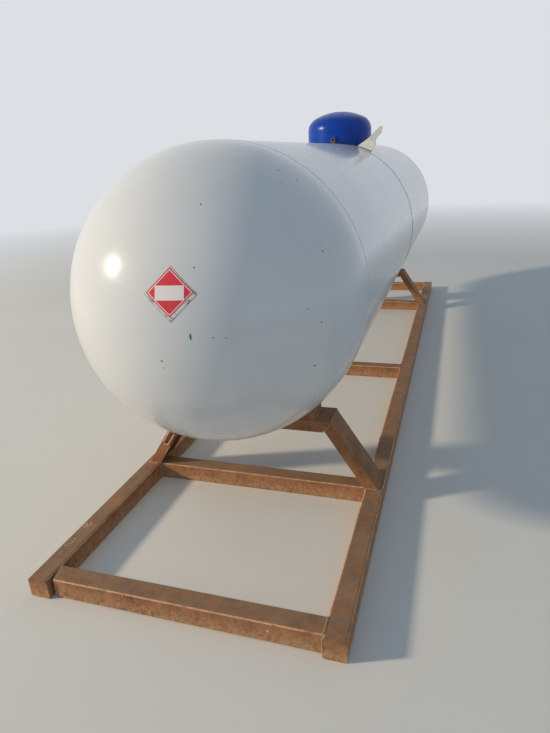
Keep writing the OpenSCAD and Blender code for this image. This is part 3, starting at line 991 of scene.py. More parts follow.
@dataclass
class PressureShell:
    """The white shell: two round heads and two courses, with their seams and marks."""

    paints: Paints
    form: TankForm
    wall: float = 0.007
    head_wall: float = 0.006
    segments: int = 224
    seam_half: float = 0.0068
    seam_rise: float = 0.0019
    seam_sunk: float = 0.0006
    seam_steps: int = 640
    ripple: float = 0.00022
    ripples: int = 320
    sheet_place: tuple[float, float] = (0.0609, 0.1213)
    sheet_half: tuple[float, float] = (0.0734, 0.0727)
    grime_rim: float = 0.0013
    field_place: tuple[float, float] = (0.0584, 0.1269)
    field_half: tuple[float, float] = (0.0683, 0.0656)
    line_inset: float = 0.0048
    centre_inset: float = 0.008
    panel_place: tuple[float, float] = (0.0586, 0.126)
    panel_half: tuple[float, float] = (0.0412, 0.0194)
    film: float = 0.0002
    green_place: tuple[float, float] = (0.111, 0.0065)
    green_size: float = 0.0058
    green_stretch: float = 2.0
    collar_radius: float = 0.175
    coupling_radius: float = 0.026
    bracket_foot: tuple[float, float, float, float] = (0.1487, 0.2371, 0.150, 0.159)
    hinge_foot: tuple[float, float, float, float] = (-0.058, 0.058, 0.569, 0.619)
    staple_foot: tuple[float, float, float, float] = (-0.015, 0.015, 0.115, 0.12)
    chips: tuple[tuple[float, float, float], ...] = (
        (200.6, 204.3, 2.4),
        (193.9, 267.6, 2.0),
        (278.5, 170.3, 2.2),
        (282.0, 181.8, 1.8),
        (296.7, 180.0, 1.8),
        (295.5, 161.2, 1.6),
        (322.7, 251.2, 2.2),
        (314.8, 365.8, 3.6),
        (321.5, 322.0, 2.0),
        (307.6, 308.8, 1.8),
        (161.8, 361.2, 2.2),
        (163.6, 367.9, 1.8),
        (213.3, 337.6, 1.8),
        (226.0, 338.0, 1.6),
    )
    chip_scale: float = 0.0012
    fillet_ripple: float = 0.08
    collar_fillet: float = 0.008
    hinge_fillet: float = 0.006
    staple_fillet: float = 0.005
    coupling_fillet: float = 0.006
    bracket_fillet: float = 0.0075
    bracket_round: float = 0.0009

    @staticmethod
    def stand_in(name: str, kind: str, shape: Shape, finish: Material) -> None:
        """Makes the piece of a kind that shows in place of the CAD node of that name."""
        made = Maker.piece(f"{name}_{kind}", shape, finish, Body.TANK, Slot.TANK_PAINT, SKIN_SHARP)
        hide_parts(name)

    @staticmethod
    def fillet(path: list[Vector], normals: list[Vector], width: float, seed: int) -> Shape:
        """A weld fillet of a width along a closed line."""
        sides, ripple = Maker.BEAD_SIDES, PressureShell.fillet_ripple
        return Maker.rope(path, normals, width / 2, sides, ripple, seed, closed=True)

    def head(self, end: End) -> None:
        """Builds one pressed head with its straight flange.

        Args:
            end: Which end it closes.
        """
        seam, radius = self.form.seam, self.form.radius
        base = seam + self.form.skirt
        hollow = radius - self.head_wall
        outer, inner = [(radius, seam)], [(hollow, seam)]
        for line, reach, count in ((outer, radius, 72), (inner, hollow, 24)):
            for index in range(count + 1):
                angle = math.pi / 2 * index / count
                line.append((reach * math.cos(angle), base + reach * math.sin(angle)))
            line[-1] = (0.0, base + reach)
        shape = Maker.spun([*reversed(inner), *outer], self.form.lengthways(end), self.segments)
        self.stand_in(f"{end.name.lower()}_head", "skin", shape, self.paints.tank)

    def course(self, end: End) -> None:
        """Builds one rolled shell course.

        Args:
            end: Which half of the tank it is.
        """
        rows = 24
        outer = [(self.form.radius, self.form.seam * index / rows) for index in range(rows + 1)]
        inner = [(radius - self.wall, height) for radius, height in reversed(outer)]
        shape = Maker.spun([*outer, *inner], self.form.lengthways(end), self.segments, ring=True)
        self.stand_in(f"{end.name.lower()}_shell", "skin", shape, self.paints.tank)

    def seam_bead(self, name: str, place: float, seed: int, finish: Material) -> None:
        """Builds one girth weld as a shallow rippled band.

        Args:
            name: The CAD node that it stands for.
            place: Where it lies along Y.
            seed: Start of its irregularities.
            finish: Its material.
        """
        random = Random(seed)
        half, rise = self.seam_half, self.seam_rise
        base = self.form.radius - self.seam_sunk
        flank = rise * 0.72
        profile = [(0.0, -half), (flank, -half / 2), (rise, 0.0), (flank, half / 2), (0.0, half)]
        outline = [(base + lift, height) for lift, height in profile]
        shape = Maker.spun(outline, Matrix.Identity(4), self.seam_steps, ring=True)
        for vert in shape.verts:
            if abs(vert.co.z) < half * 0.9:
                turn = math.atan2(vert.co.y, vert.co.x)
                swell = self.ripple * math.sin(turn * self.ripples)
                swell = swell + random.uniform(-0.0001, 0.0001) - 0.0002
                scale = 1 + swell / vert.co.xy.length
                vert.co.x *= scale
                vert.co.y *= scale
        bmesh.ops.transform(shape, matrix=self.form.lengthways(End.REAR, place), verts=shape.verts)
        self.stand_in(name, "bead", shape, finish)

    def sheet(
        self, place: tuple[float, float], half: tuple[float, float], turn: float, lift: float
    ) -> Shape:
        """A thin sheet that follows the front head.

        Args:
            place: Its middle across and up from the tank's axis.
            half: Half its width and half its height, measured corner to corner on a turned sheet.
            turn: Its turn in degrees.
            lift: Height of its back above the skin.

        Returns:
            The sheet's mesh.
        """
        shape = bmesh.new()
        angle = math.radians(turn)
        bmesh.ops.create_grid(shape, x_segments=12, y_segments=12, size=math.cos(angle))
        spin = Matrix.Rotation(angle, 3, "Z")
        bmesh.ops.rotate(shape, verts=shape.verts, cent=(0, 0, 0), matrix=spin)
        bmesh.ops.scale(shape, vec=(half[0], half[1], 1.0), verts=shape.verts)
        Maker.thicken(shape, self.film)
        for vert in shape.verts:
            across, up, out = vert.co
            vert.co = self.form.on_head(place[0] + across, place[1] + up, lift + out)
        bmesh.ops.recalc_face_normals(shape, faces=shape.faces)
        return shape

    def marker(self) -> None:
        """Sticks a red diamond with a white edge and a blank white panel on the front head."""
        grime = tuple(reach + self.grime_rim for reach in self.sheet_half)
        line = tuple(reach - self.line_inset for reach in self.field_half)
        centre = tuple(reach - self.centre_inset for reach in self.field_half)
        layers = (
            ("marker_grime", self.sheet_place, grime, 45.0, self.paints.grime),
            ("marker_edge", self.sheet_place, self.sheet_half, 45.0, self.paints.border),
            ("marker_field", self.field_place, self.field_half, 45.0, self.paints.red),
            ("marker_line", self.field_place, line, 45.0, self.paints.white),
            ("marker_centre", self.field_place, centre, 45.0, self.paints.red),
            ("marker_panel", self.panel_place, self.panel_half, 0.0, self.paints.white),
        )
        for level, (name, place, half, turn, ink) in enumerate(layers, 1):
            shape = self.sheet(place, half, turn, level * self.film)
            Maker.piece(name, shape, ink, Body.TANK, Slot.TANK_PAINT, SHEET_SHARP)

    def chip_marks(self, camera: "PhotoCamera") -> None:
        """Scatters the small chips in the enamel that the photo shows on the front end.

        Args:
            camera: The camera that places them.
        """
        random = Random(7)
        parts = []
        front = -self.form.seam - self.form.skirt
        for across, down, size in self.chips:
            place = camera.on_tank(across, down, self.form)
            if place is None:
                continue
            centre = Vector((0, min(max(place.y, front), 0), self.form.axis_height))
            out = (place - centre).normalized()
            parts.append(Maker.fleck(place, out, size * self.chip_scale, random))
        place = self.form.on_head(*self.green_place, 0.0)
        out = (place - Vector((0, front, self.form.axis_height))).normalized()
        green = Maker.fleck(place, out, self.green_size, random, self.green_stretch)
        for name, shape, finish in (
            ("enamel_chips", Maker.join(parts), self.paints.grime),
            ("green_fleck", green, self.paints.green),
        ):
            Maker.piece(name, shape, finish, Body.TANK, Slot.TANK_PAINT, CHIP_SHARP)

    def round_fillet(
        self, centre: tuple[float, float], radius: float, width: float, seed: int
    ) -> Shape:
        """A weld fillet round a standing pipe.

        Args:
            centre: X and Y of the pipe.
            radius: The pipe's outer radius.
            width: The fillet's width.
            seed: Start of its irregularities.

        Returns:
            The fillet's mesh.
        """
        count = 2 * math.ceil(math.pi * radius / 0.003)
        path, normals = [], []
        for index in range(count):
            turn = math.tau * index / count
            radial = Vector((math.cos(turn), math.sin(turn), 0))
            across = centre[0] + radius * radial.x
            path.append(self.form.on_course(across, centre[1] + radius * radial.y))
            normals.append((self.form.out(across) + radial).normalized())
        return self.fillet(path, normals, width, seed)

    def foot_fillet(
        self, foot: tuple[float, float, float, float], width: float, seed: int
    ) -> Shape:
        """A weld fillet round a rectangular foot on the upper shell.

        Args:
            foot: Its lowest and highest X, then its lowest and highest Y.
            width: The fillet's width.
            seed: Start of its irregularities.

        Returns:
            The fillet's mesh.
        """
        left, right, near, far = foot
        corners = [(left, near), (right, near), (right, far), (left, far), (left, near)]
        flat = Maker.corners([Vector((across, place, 0)) for across, place in corners])[:-1]
        path = [self.form.on_course(point.x, point.y) for point in flat]
        normals = [self.form.out(point.x) for point in flat]
        return self.fillet(path, normals, width, seed)

    def fillets(self) -> None:
        """Welds the collar, the couplings and the small feet to the shell."""
        parts = [
            self.round_fillet(
                (0.0, self.form.hood_place), self.collar_radius, self.collar_fillet, 11
            ),
            self.foot_fillet(self.hinge_foot, self.hinge_fillet, 12),
            self.foot_fillet(self.staple_foot, self.staple_fillet, 13),
        ]
        radius, width = self.coupling_radius, self.coupling_fillet
        for number, spot in enumerate(Spot):
            turn = math.radians(spot.value)
            across = self.form.fitting_out * math.cos(turn)
            centre = (across, self.form.hood_place + self.form.fitting_out * math.sin(turn))
            parts.append(self.round_fillet(centre, radius, width, 20 + number))
        # The bracket's foot fillet takes the darker oxide.
        foot = self.foot_fillet(self.bracket_foot, self.bracket_fillet, 14)
        for name, shape, finish in (
            ("shell_fillets", Maker.join(parts), self.paints.tank),
            ("bracket_fillet", foot, self.paints.dirt),
        ):
            Maker.piece(name, shape, finish, Body.TANK, Slot.TANK_PAINT, BEAD_SHARP)

    def build(self, camera: "PhotoCamera") -> None:
        """Builds the whole shell.

        Args:
            camera: The photo's camera, for the marks it shows.
        """
        for end in End:
            self.head(end)
            self.course(end)
        self.seam_bead("front_head_weld", -self.form.seam, 1, self.paints.tank)
        self.seam_bead("rear_head_weld", self.form.seam, 2, self.paints.tank)
        # The middle weld is dark grey, as painted shade.
        self.seam_bead("middle_weld", 0.0, 3, self.paints.sooty)
        self.marker()
        self.chip_marks(camera)
        self.fillets()
        # The bracket's rounded edges take the darker oxide.
        Maker.dress("side_bracket", self.paints.bracket, self.bracket_round, self.paints.dirt)


@dataclass
class ValveHood:
    """The hinged blue hood, its hinge, its hasp and the collar under it."""

    paints: Paints
    form: TankForm
    radius: float = 0.209
    rise: float = 0.2
    sheet: float = 0.003
    shoulder: float = 0.085
    crown: float = 0.36
    rim_gap: float = 0.005
    rim_zone: float = 0.001
    edge_round: float = 0.0008
    steps: int = 160

    def profile(self, inset: float) -> list[tuple[float, float]]:
        """Radius and height points of the dished cover, from the rim up.

        Args:
            inset: How far inside the outer skin.

        Returns:
            The points, with the height above the tank's top.
        """
        radius, rise = self.radius - inset, self.rise - inset
        shoulder, crown = self.shoulder - inset, self.crown - inset
        base = rise - crown
        level = base + math.sqrt((crown - shoulder) ** 2 - (radius - shoulder) ** 2)
        meet = math.atan2(level - base, radius - shoulder)
        points = [(radius, level * index / 10) for index in range(11)]
        for index in range(1, 17):
            angle = meet * index / 16
            out = radius - shoulder + shoulder * math.cos(angle)
            points.append((out, level + shoulder * math.sin(angle)))
        for index in range(1, 13):
            angle = meet + (math.pi / 2 - meet) * index / 12
            points.append((crown * math.cos(angle), base + crown * math.sin(angle)))
        points[-1] = (0.0, rise)
        return points

    def cover(self) -> None:
        """Builds the hood's pressed skin with a rim that follows the tank."""
        outline = [*reversed(self.profile(self.sheet)), *self.profile(0.0)]
        shape = Maker.spun(outline, Matrix.Identity(4), self.steps)
        cut = self.form.radius + self.rim_gap
        for vert in shape.verts:
            if vert.co.z < self.rim_zone:
                vert.co.z = math.sqrt(cut**2 - vert.co.x**2) - self.form.radius
        # The rim's flat faces take the lighter blue, a painted highlight along the hood's lower
        # edge.
        for face in shape.faces:
            low = min(vert.co.z for vert in face.verts)
            reach = [vert.co.xy.length for vert in face.verts]
            flat = max(reach) - min(reach) > self.sheet / 2
            face.material_index = int(low < self.rim_zone and flat)
        top = (0, self.form.hood_place, self.form.axis_height + self.form.radius)
        bmesh.ops.transform(shape, matrix=Matrix.Translation(top), verts=shape.verts)
        paints = (self.paints.hood, self.paints.hood_edge)
        made = Maker.piece("hood_skin", shape, paints, Body.HOOD, Slot.HOOD_PAINT, FITTING_SHARP)
        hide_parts("hood")

    def build(self) -> None:
        """Builds the hood and dresses what belongs to it."""
        self.cover()
        # The hinge leaf's and hasp's rounded edges take the lighter blue, a painted highlight.
        for node in ("hood_hinge_leaf", "hood_hasp"):
            Maker.dress(node, self.paints.hood, self.edge_round, self.paints.hood_edge)
        for node in ("hasp_staple", "hinge_pin"):
            Maker.dress(node, self.paints.rust, self.edge_round)
        for node in ("hinge_bracket", "hood_collar"):
            Maker.dress(node, self.paints.tank, self.edge_round)


@dataclass
class Fittings:
    """The brass valves and the gauge under the hood, with their caps, threads, chains and dial."""

    paints: Paints
    form: TankForm
    base: float = 1.472
    edge_round: float = 0.0008
    threads: tuple[tuple[Spot, float, tuple[float, ...]], ...] = (
        (Spot.RELIEF, 0.0242, (0.036, 0.041, 0.046, 0.051, 0.056)),
        (Spot.FILLER, 0.0182, (0.030, 0.034, 0.038, 0.042)),
        (Spot.VAPOUR, 0.0152, (0.036, 0.040, 0.044, 0.048)),
        (Spot.SERVICE, 0.0162, (0.046, 0.050, 0.054)),
    )
    thread_wire: float = 0.001
    chain_ends: tuple[tuple[Spot, float, float, float], ...] = (
        (Spot.RELIEF, 0.0285, 0.086, 0.028),
        (Spot.FILLER, 0.0295, 0.07, 0.022),
    )
    chain_sag: float = 0.018
    chain_links: int = 17
    wheel_radius: float = 0.022
    wheel_bar: float = 0.0047
    spoke_bar: float = 0.0034
    dial_span: float = 240.0
    dial_ticks: int = 20
    figure_size: float = 0.0062
    figure_out: float = 0.0205
    needle_turn: float = 38.0

    def at(self, spot: Spot, up: float = 0.0) -> Matrix:
        """The place of a turned form on a fitting's axis.

        Args:
            spot: The fitting.
            up: Height above its coupling.

        Returns:
            The matrix that sets the form there.
        """
        turn = Matrix.Rotation(math.radians(spot.value), 4, "Z")
        out = Matrix.Translation((self.form.fitting_out, 0, 0))
        return Matrix.Translation((0, self.form.hood_place, self.base + up)) @ turn @ out

    @staticmethod
    def put(name: str, parts: list[Shape], finish: Material, slot: Slot) -> None:
        """Makes one piece of several small forms and sets it on the tank."""
        Maker.piece(name, Maker.join(parts), finish, Body.TANK, slot, FITTING_SHARP)

    @staticmethod
    def hoop(matrix: Matrix, radius: float, wire: float, steps: int = 48) -> Shape:
        """A round ring, as of a thread, a bezel or a chain's link.

        Args:
            matrix: Where its middle goes, with its axis along Z.
            radius: Its radius to the middle of the wire.
            wire: The wire's radius.
            steps: Sides of the ring.

        Returns:
            The ring's mesh.
        """
        turns = [math.tau * index / 8 for index in range(8)]
        outline = [(radius + wire * math.cos(turn), wire * math.sin(turn)) for turn in turns]
        return Maker.spun(outline, matrix, steps, ring=True)

    @staticmethod
    def prism(
        sides: int, foot: float, top: float, height: float, matrix: Matrix | None = None
    ) -> Shape:
        """A straight or tapered prism.

        Args:
            sides: Its sides.
            foot: Radius of its foot.
            top: Radius of its top.
            height: Its height.
            matrix: Where its middle goes, or the origin if left out.

        Returns:
            The prism's mesh.
        """
        shape = bmesh.new()
        bmesh.ops.create_cone(
            shape,
            cap_ends=True,
            segments=sides,
            radius1=foot,
            radius2=top,
            depth=height,
            matrix=matrix or Matrix.Identity(4),
        )
        return shape

    @staticmethod
    def repeat(shape: Shape, turn: float, steps: int) -> None:
        """Repeats a whole form round the Z axis, in even steps over a turn in radians."""
        whole = shape.verts[:] + shape.edges[:] + shape.faces[:]
        bmesh.ops.spin(
            shape, geom=whole, axis=UP, cent=(0, 0, 0), angle=turn, steps=steps, use_duplicate=True
        )

    @staticmethod
    def ridges(matrix: Matrix, radius: float, height: float, count: int, depth: float) -> Shape:
        """The grip ridges round a cap.

        Args:
            matrix: Where the middle of the ridged band goes.
            radius: The cap's radius.
            height: The ridges' length along the axis.
            count: How many there are.
            depth: Half their width.

        Returns:
            The ridges' mesh.
        """
        shape = Fittings.prism(6, depth, depth, height, Matrix.Translation((radius, 0, 0)))
        Fittings.repeat(shape, math.tau * (count - 1) / count, count - 1)
        bmesh.ops.transform(shape, matrix=matrix, verts=shape.verts)
        return shape

    @staticmethod
    def domed(matrix: Matrix, radius: float, side: float, rise: float) -> Shape:
        """A low cap with a straight side and a domed top.

        Args:
            matrix: Where its foot goes.
            radius: Its radius.
            side: Height of the straight side.
            rise: Height of the dome over it.

        Returns:
            The cap's mesh.
        """
        outline = [(0.0, 0.0), (radius, 0.0), (radius, side)]
        for index in range(1, 9):
            angle = math.pi / 2 * index / 8
            outline.append((radius * math.cos(angle), side + rise * math.sin(angle)))
        outline[-1] = (0.0, side + rise)
        return Maker.spun(outline, matrix, 48)

    def chain(self, start: Vector, end: Vector, sag: float, links: int) -> Shape:
        """A small keeper chain that hangs between two points.

        Args:
            start: Where it starts.
            end: Where it ends.
            sag: How far its middle hangs below the straight line.
            links: How many links it has.

        Returns:
            The chain's mesh.
        """
        parts = []
        for index in range(links):
            share = (index + 0.5) / links
            place = start.lerp(end, share) - Vector((0, 0, 4 * sag * share * (1 - share)))
            along = (end - start) - Vector((0, 0, 4 * sag * (1 - 2 * share)))
            turn = along.to_track_quat("X", "Z").to_matrix().to_4x4()
            roll = Matrix.Rotation(math.pi / 2 * (index % 2), 4, "X")
            oval = Matrix.Diagonal((1.35, 1.0, 1.0, 1.0))
            reach = along.length / links / 2.1
            laid = Matrix.Translation(place) @ turn @ roll @ oval
            parts.append(self.hoop(laid, reach / 1.35, 0.0006, 14))
        return Maker.join(parts)

    def caps(self) -> None:
        """Puts the caps' domes, ridges, thread rings and keeper chains on the valves."""
        brass = []
        for spot, radius, ups in self.threads:
            brass.extend(self.hoop(self.at(spot, up), radius, self.thread_wire) for up in ups)
        brass.append(self.hoop(self.at(Spot.RELIEF, 0.066), 0.0266, 0.0014))
        brass.append(self.domed(self.at(Spot.VAPOUR, 0.074), 0.0165, 0.0012, 0.004))
        brass.append(self.ridges(self.at(Spot.VAPOUR, 0.063), 0.0178, 0.016, 30, 0.0011))
        sideways = self.at(Spot.SERVICE, 0.034) @ Matrix.Rotation(math.pi / 2, 4, "Y")
        for reach in (0.018, 0.021, 0.024):
            brass.append(self.hoop(sideways @ Matrix.Translation((0, 0, reach)), 0.0112, 0.0009))
        self.put("valve_threads", brass, self.paints.brass, Slot.BRASS)
        rubber = [
            self.domed(self.at(Spot.RELIEF, 0.0915), 0.0262, 0.0015, 0.006),
            self.domed(self.at(Spot.FILLER, 0.0835), 0.0262, 0.0018, 0.005),
            self.ridges(self.at(Spot.FILLER, 0.065), 0.0268, 0.03, 36, 0.0014),
            self.domed(sideways @ Matrix.Translation((0, 0, 0.027)), 0.0128, 0.0115, 0.0022),
        ]
        self.put("valve_caps", rubber, self.paints.rubber, Slot.BRASS)
        chains = []
        for spot, radius, top, foot in self.chain_ends:
            place = self.at(spot)
            start = place @ Vector((-radius, 0, top))
            end = place @ Vector((-radius * 0.3, radius, foot))
            chains.append(self.chain(start, end, self.chain_sag, self.chain_links))
        self.put("keeper_chains", chains, self.paints.zinc, Slot.GAUGE)

    def handwheel(self) -> None:
        """Puts the enamelled rim, spokes and nut on the service valve."""
        hub = self.at(Spot.SERVICE, 0.074)
        parts = [self.hoop(hub, self.wheel_radius, self.wheel_bar, 60)]
        for spoke in range(3):
            turn = hub @ Matrix.Rotation(math.tau * spoke / 3, 4, "Z")
            line = [turn @ Vector((0.004 + 0.002 * step, 0, 0)) for step in range(9)]
            parts.append(Maker.rope(line, [UP] * len(line), self.spoke_bar))
        self.put("service_wheel", parts, self.paints.wheel, Slot.BRASS)
        nut = self.prism(6, 0.0078, 0.0074, 0.005, hub @ Matrix.Translation((0, 0, 0.0055)))
        bmesh.ops.bevel(
            nut,
            geom=nut.edges[:],
            offset=0.0005,
            affect="EDGES",
            segments=1,
            profile=0.5,
            material=-1,
        )
        self.put("service_nut", [nut], self.paints.zinc, Slot.GAUGE)

    def dial(self) -> None:
        """Puts the face, figures, needle, bezel and clear cover on the level gauge."""
        top = self.at(Spot.GAUGE, 0.024) @ Matrix.Rotation(math.pi / 2, 4, "Z")
        face = self.domed(top, 0.0305, 0.0004, 0.0001)
        self.put("gauge_face", [face], self.paints.white, Slot.GAUGE)
        bezel = self.hoop(top @ Matrix.Translation((0, 0, 0.0008)), 0.0318, 0.0022, 72)
        self.put("gauge_bezel", [bezel], self.paints.zinc, Slot.GAUGE)
        marks = bmesh.new()
        size = Matrix.Diagonal((0.0036, 0.0006, 0.0002, 1.0))
        start = Matrix.Rotation(math.radians(-30), 4, "Z") @ Matrix.Translation((0.0268, 0, 0.0006))
        bmesh.ops.create_cube(marks, size=1.0, matrix=start @ size)
        self.repeat(marks, math.radians(self.dial_span), self.dial_ticks)
        figures = [marks]
        for number in range(0, 101, 20):
            angle = math.radians(210 - self.dial_span * number / 100)
            data = bpy.data.curves.new("figure", "FONT")
            data.body, data.size = str(number), self.figure_size
            data.align_x = data.align_y = "CENTER"
            data.extrude = 0.0001
            writer = bpy.data.objects.new("figure", data)
            flat = bpy.data.meshes.new_from_object(writer)
            figure = bmesh.new()
            figure.from_mesh(flat)
            across, up = math.cos(angle) * self.figure_out, math.sin(angle) * self.figure_out
            bmesh.ops.translate(figure, vec=(across, up, 0.0006), verts=figure.verts)
            figures.append(figure)
            bpy.data.objects.remove(writer)
            bpy.data.curves.remove(data)
            bpy.data.meshes.remove(flat)
        printed = Maker.join(figures)
        bmesh.ops.transform(printed, matrix=top, verts=printed.verts)
        self.put("gauge_figures", [printed], self.paints.black, Slot.GAUGE)
        needle = self.prism(3, 0.0016, 0.0003, 0.024)
        swing = Matrix.Rotation(math.radians(self.needle_turn), 4, "Z")
        flat = Matrix.Rotation(math.pi / 2, 4, "Y") @ Matrix.Diagonal((0.4, 1.0, 1.0, 1.0))
        laid = top @ swing @ Matrix.Translation((0.008, 0, 0.0012)) @ flat
        bmesh.ops.transform(needle, matrix=laid, verts=needle.verts)
        hub = self.domed(top @ Matrix.Translation((0, 0, 0.0005)), 0.0026, 0.001, 0.0008)
        self.put("gauge_needle", [needle, hub], self.paints.red, Slot.GAUGE)
        cover = self.domed(top @ Matrix.Translation((0, 0, 0.0024)), 0.0306, 0.0004, 0.0022)
        self.put("gauge_cover", [cover], self.paints.clear, Slot.GAUGE)

    def build(self) -> None:
        """Dresses the fittings and adds their small pieces."""
        for node in ("relief_valve", "filler_valve", "service_valve", "vapour_valve"):
            Maker.dress(node, self.paints.brass, self.edge_round)
        Maker.dress("level_gauge", self.paints.zinc, self.edge_round)
        self.caps()
        self.handwheel()
        self.dial()


@dataclass
class SkidFrame:
    """Runners, cross-members, saddles and the weld beads that hold them together."""

    paints: Paints
    half_width: float = 0.558
    half_length: float = 2.448
    tube: float = 0.076
    corner: float = 0.009
    cap_wall: float = 0.004
    bead_width: float = 0.010
    # Radius, depth of the middle in the wall, and ripple of two kinds of bead.
    splice_bead: tuple[float, float, float] = (0.0036, 0.0016, 0.1)
    cap_seam_bead: tuple[float, float, float] = (0.0019, 0.0009, 0.12)
    fine_bead: float = 0.008
    knee_width: float = 0.0042
    loop_bead: float = 0.0052
    foot_reach: float = 0.044
    mitre_run: float = 0.0247
    splices: tuple[tuple[int, float], ...] = ((-1, -2.133), (1, -1.177))
    loop_foot: tuple[float, float, float] = (-0.42467, -1.6407, 0.198)
    loop_slope: float = 56.5
    loop_length: float = 0.062
    loop_half: float = 0.013
    loop_rod: float = 0.005
    saddle_round: float = 0.0012
    cap_round: float = 0.001
    cross_nodes: tuple[str, ...] = (
        "front_cross_member",
        "rear_cross_member",
        "middle_cross_member",
        "front_saddle_tube",
        "rear_saddle_tube",
    )
    saddle_parts: tuple[str, ...] = ("saddle_beam", "left_leg", "right_leg", "bearing_block")
    flecks: tuple[tuple[float, float, float], ...] = (
        (0.3233, -2.4344, 0.0745),
        (-0.192, -2.4342, 0.0705),
        (0.3105, -2.4342, 0.046),
    )
    scratch: tuple[tuple[float, float], ...] = ((-0.5311, -2.3192), (-0.5234, -2.2476))
    scuffs: tuple[tuple[float, float, float, float, int], ...] = (
        (-0.536, -2.138, 0.0085, 0.011, 40),
        (-0.529, -2.25, 0.005, 0.022, 12),
    )
    fleck_size: float = 0.0034
    fleck_stretch: float = 1.4
    scratch_radius: float = 0.0009
    scuff_sizes: tuple[float, float] = (0.001, 0.004)
    scuff_stretch: float = 1.5

    def weld(self, name: str, beads: list[Shape], finish: Material) -> None:
        """Makes one piece of several beads and lays it on the skid."""
        Maker.piece(name, Maker.join(beads), finish, Body.TANK, Slot.SKID, BEAD_SHARP)

    @staticmethod
    def run(start: Point, end: Point, lean: Point, width: float, seed: int) -> Shape:
        """A straight bead of a width from a start to an end, which leans one way."""
        return Maker.bead([Vector(start), Vector(end)], Vector(lean).normalized(), width, seed)

    def over_tube(
        self, side: int, place: float, bead: tuple[float, float, float], seed: int
    ) -> Shape:
        """A bead over a runner's top and down its inner side.

        Args:
            side: -1 for the left runner, 1 for the right one.
            place: Y of the bead.
            bead: Its radius, the depth of its middle in the wall, and its ripple.
            seed: Start of its small irregularities.

        Returns:
            The bead's mesh.
        """
        radius, sunk, ripple = bead
        inner, outer = self.half_width - self.tube, self.half_width
        top = Maker.corners([
            Vector((side * (outer - self.corner), place, self.tube)),
            Vector((side * (inner + self.corner), place, self.tube)),
        ])
        path, normals = list(top), [UP] * len(top)
        for index in range(1, 6):
            angle = math.pi / 2 * index / 5
            out = Vector((-side * math.sin(angle), 0, math.cos(angle)))
            centre = Vector((side * (inner + self.corner), place, self.tube - self.corner))
            path.append(centre + out * self.corner)
            normals.append(out)
        down = Maker.corners([path[-1], Vector((side * inner, place, self.corner))])[1:]
        path.extend(down)
        normals.extend([Vector((-side, 0, 0))] * len(down))
        path = [point - out * sunk for point, out in zip(path, normals)]
        return Maker.rope(path, normals, radius, Maker.BEAD_SIDES, ripple, seed)

    def tube_beads(self) -> None:
        """Welds each cross-member's ends to the runners, but for the front one's open left end."""
        parts = []
        inner = self.half_width - self.tube
        for number, node in enumerate(self.cross_nodes):
            low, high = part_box(node)
            for side in (-1, 1):
                if side < 0 and node == "front_cross_member":
                    continue
                x, z, half = side * (inner + 0.002), high.z - 0.0035, self.corner / 2
                start, end = (x, low.y + half, z), (x, high.y - half, z)
                lean, seed = (-0.4 * side, 0, 1), number * 4 + side + 9
                parts.append(self.run(start, end, lean, self.bead_width * 1.1, seed))
                x, upper, lower = side * inner, high.z - self.corner, low.z + self.corner
                for y, out in ((low.y, -1), (high.y, 1)):
                    start, end, seed = (x, y, upper), (x, y, lower), number * 9 + out + 40
                    parts.append(self.run(start, end, (-side, out, 0), self.bead_width, seed))
        self.weld("tube_joint_beads", parts, self.paints.skid_bead)

    def runner_seams(self) -> None:
        """Lays the splices across the runners and the seams of their end caps."""
        splices = [
            self.over_tube(side, place, self.splice_bead, 120 + number)
            for number, (side, place) in enumerate(self.splices)
        ]
        reach = self.half_length - self.cap_wall
        seams = [
            self.over_tube(side, end * reach, self.cap_seam_bead, 130 + side + 2 * end)
            for side in (-1, 1)
            for end in (-1, 1)
        ]
        self.weld("runner_splices", splices, self.paints.skid_bead)
        self.weld("cap_seams", seams, self.paints.dirt)

    def saddle_beads(self) -> None:
        """Welds the legs to the runners and to the beams, and the blocks to the beams."""
        parts, edges = [], []
        for saddle in ("front", "rear"):
            beam_low, beam_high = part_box(f"{saddle}_saddle_beam")
            for side, word in ((-1, "left"), (1, "right")):
                low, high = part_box(f"{saddle}_{word}_leg")
                foot = side * max(abs(high.x), abs(low.x))
                start, end = (foot, low.y, self.tube), (foot, high.y, self.tube)
                parts.append(self.run(start, end, (side, 0, 1), self.bead_width, 60 + side))
                reach = side * (abs(foot) - self.foot_reach)
                for y, out in ((low.y, -1), (high.y, 1)):
                    start, end, seed = (foot, y, self.tube), (reach, y, self.tube), 70 + side + out
                    parts.append(self.run(start, end, (0, out, 1), self.bead_width, seed))
                knee = beam_high.x if side > 0 else beam_low.x
                start, end = (knee, low.y + 0.004, beam_high.z), (knee, high.y - 0.004, beam_high.z)
                parts.append(self.run(start, end, (side * 0.3, 0, 1), self.fine_bead, 80 + side))
                for y, out in ((beam_low.y, -1), (beam_high.y, 1)):
                    start = (knee, y, beam_high.z - 0.002)
                    end = (knee - side * self.mitre_run, y, beam_low.z + 0.002)
                    seed = 110 + side * 2 + out
                    edges.append(self.run(start, end, (0, out, 0), self.knee_width, seed))
            low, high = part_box(f"{saddle}_bearing_block")
            for y, out in ((low.y, -1), (high.y, 1)):
                start, end = (low.x, y, low.z), (high.x, y, low.z)
                parts.append(self.run(start, end, (0, out, 1), self.fine_bead, 90 + out))
            for x, out in ((low.x, -1), (high.x, 1)):
                start, end = (x, low.y, low.z), (x, high.y, low.z)
                parts.append(self.run(start, end, (out, 0, 1), self.fine_bead, 100 + out))
        self.weld("saddle_beads", parts, self.paints.skid_bead)
        # The knee strips take the lighter edge finish, a painted highlight along the cut flange
        # edges.
        self.weld("knee_edges", edges, self.paints.skid_edge)

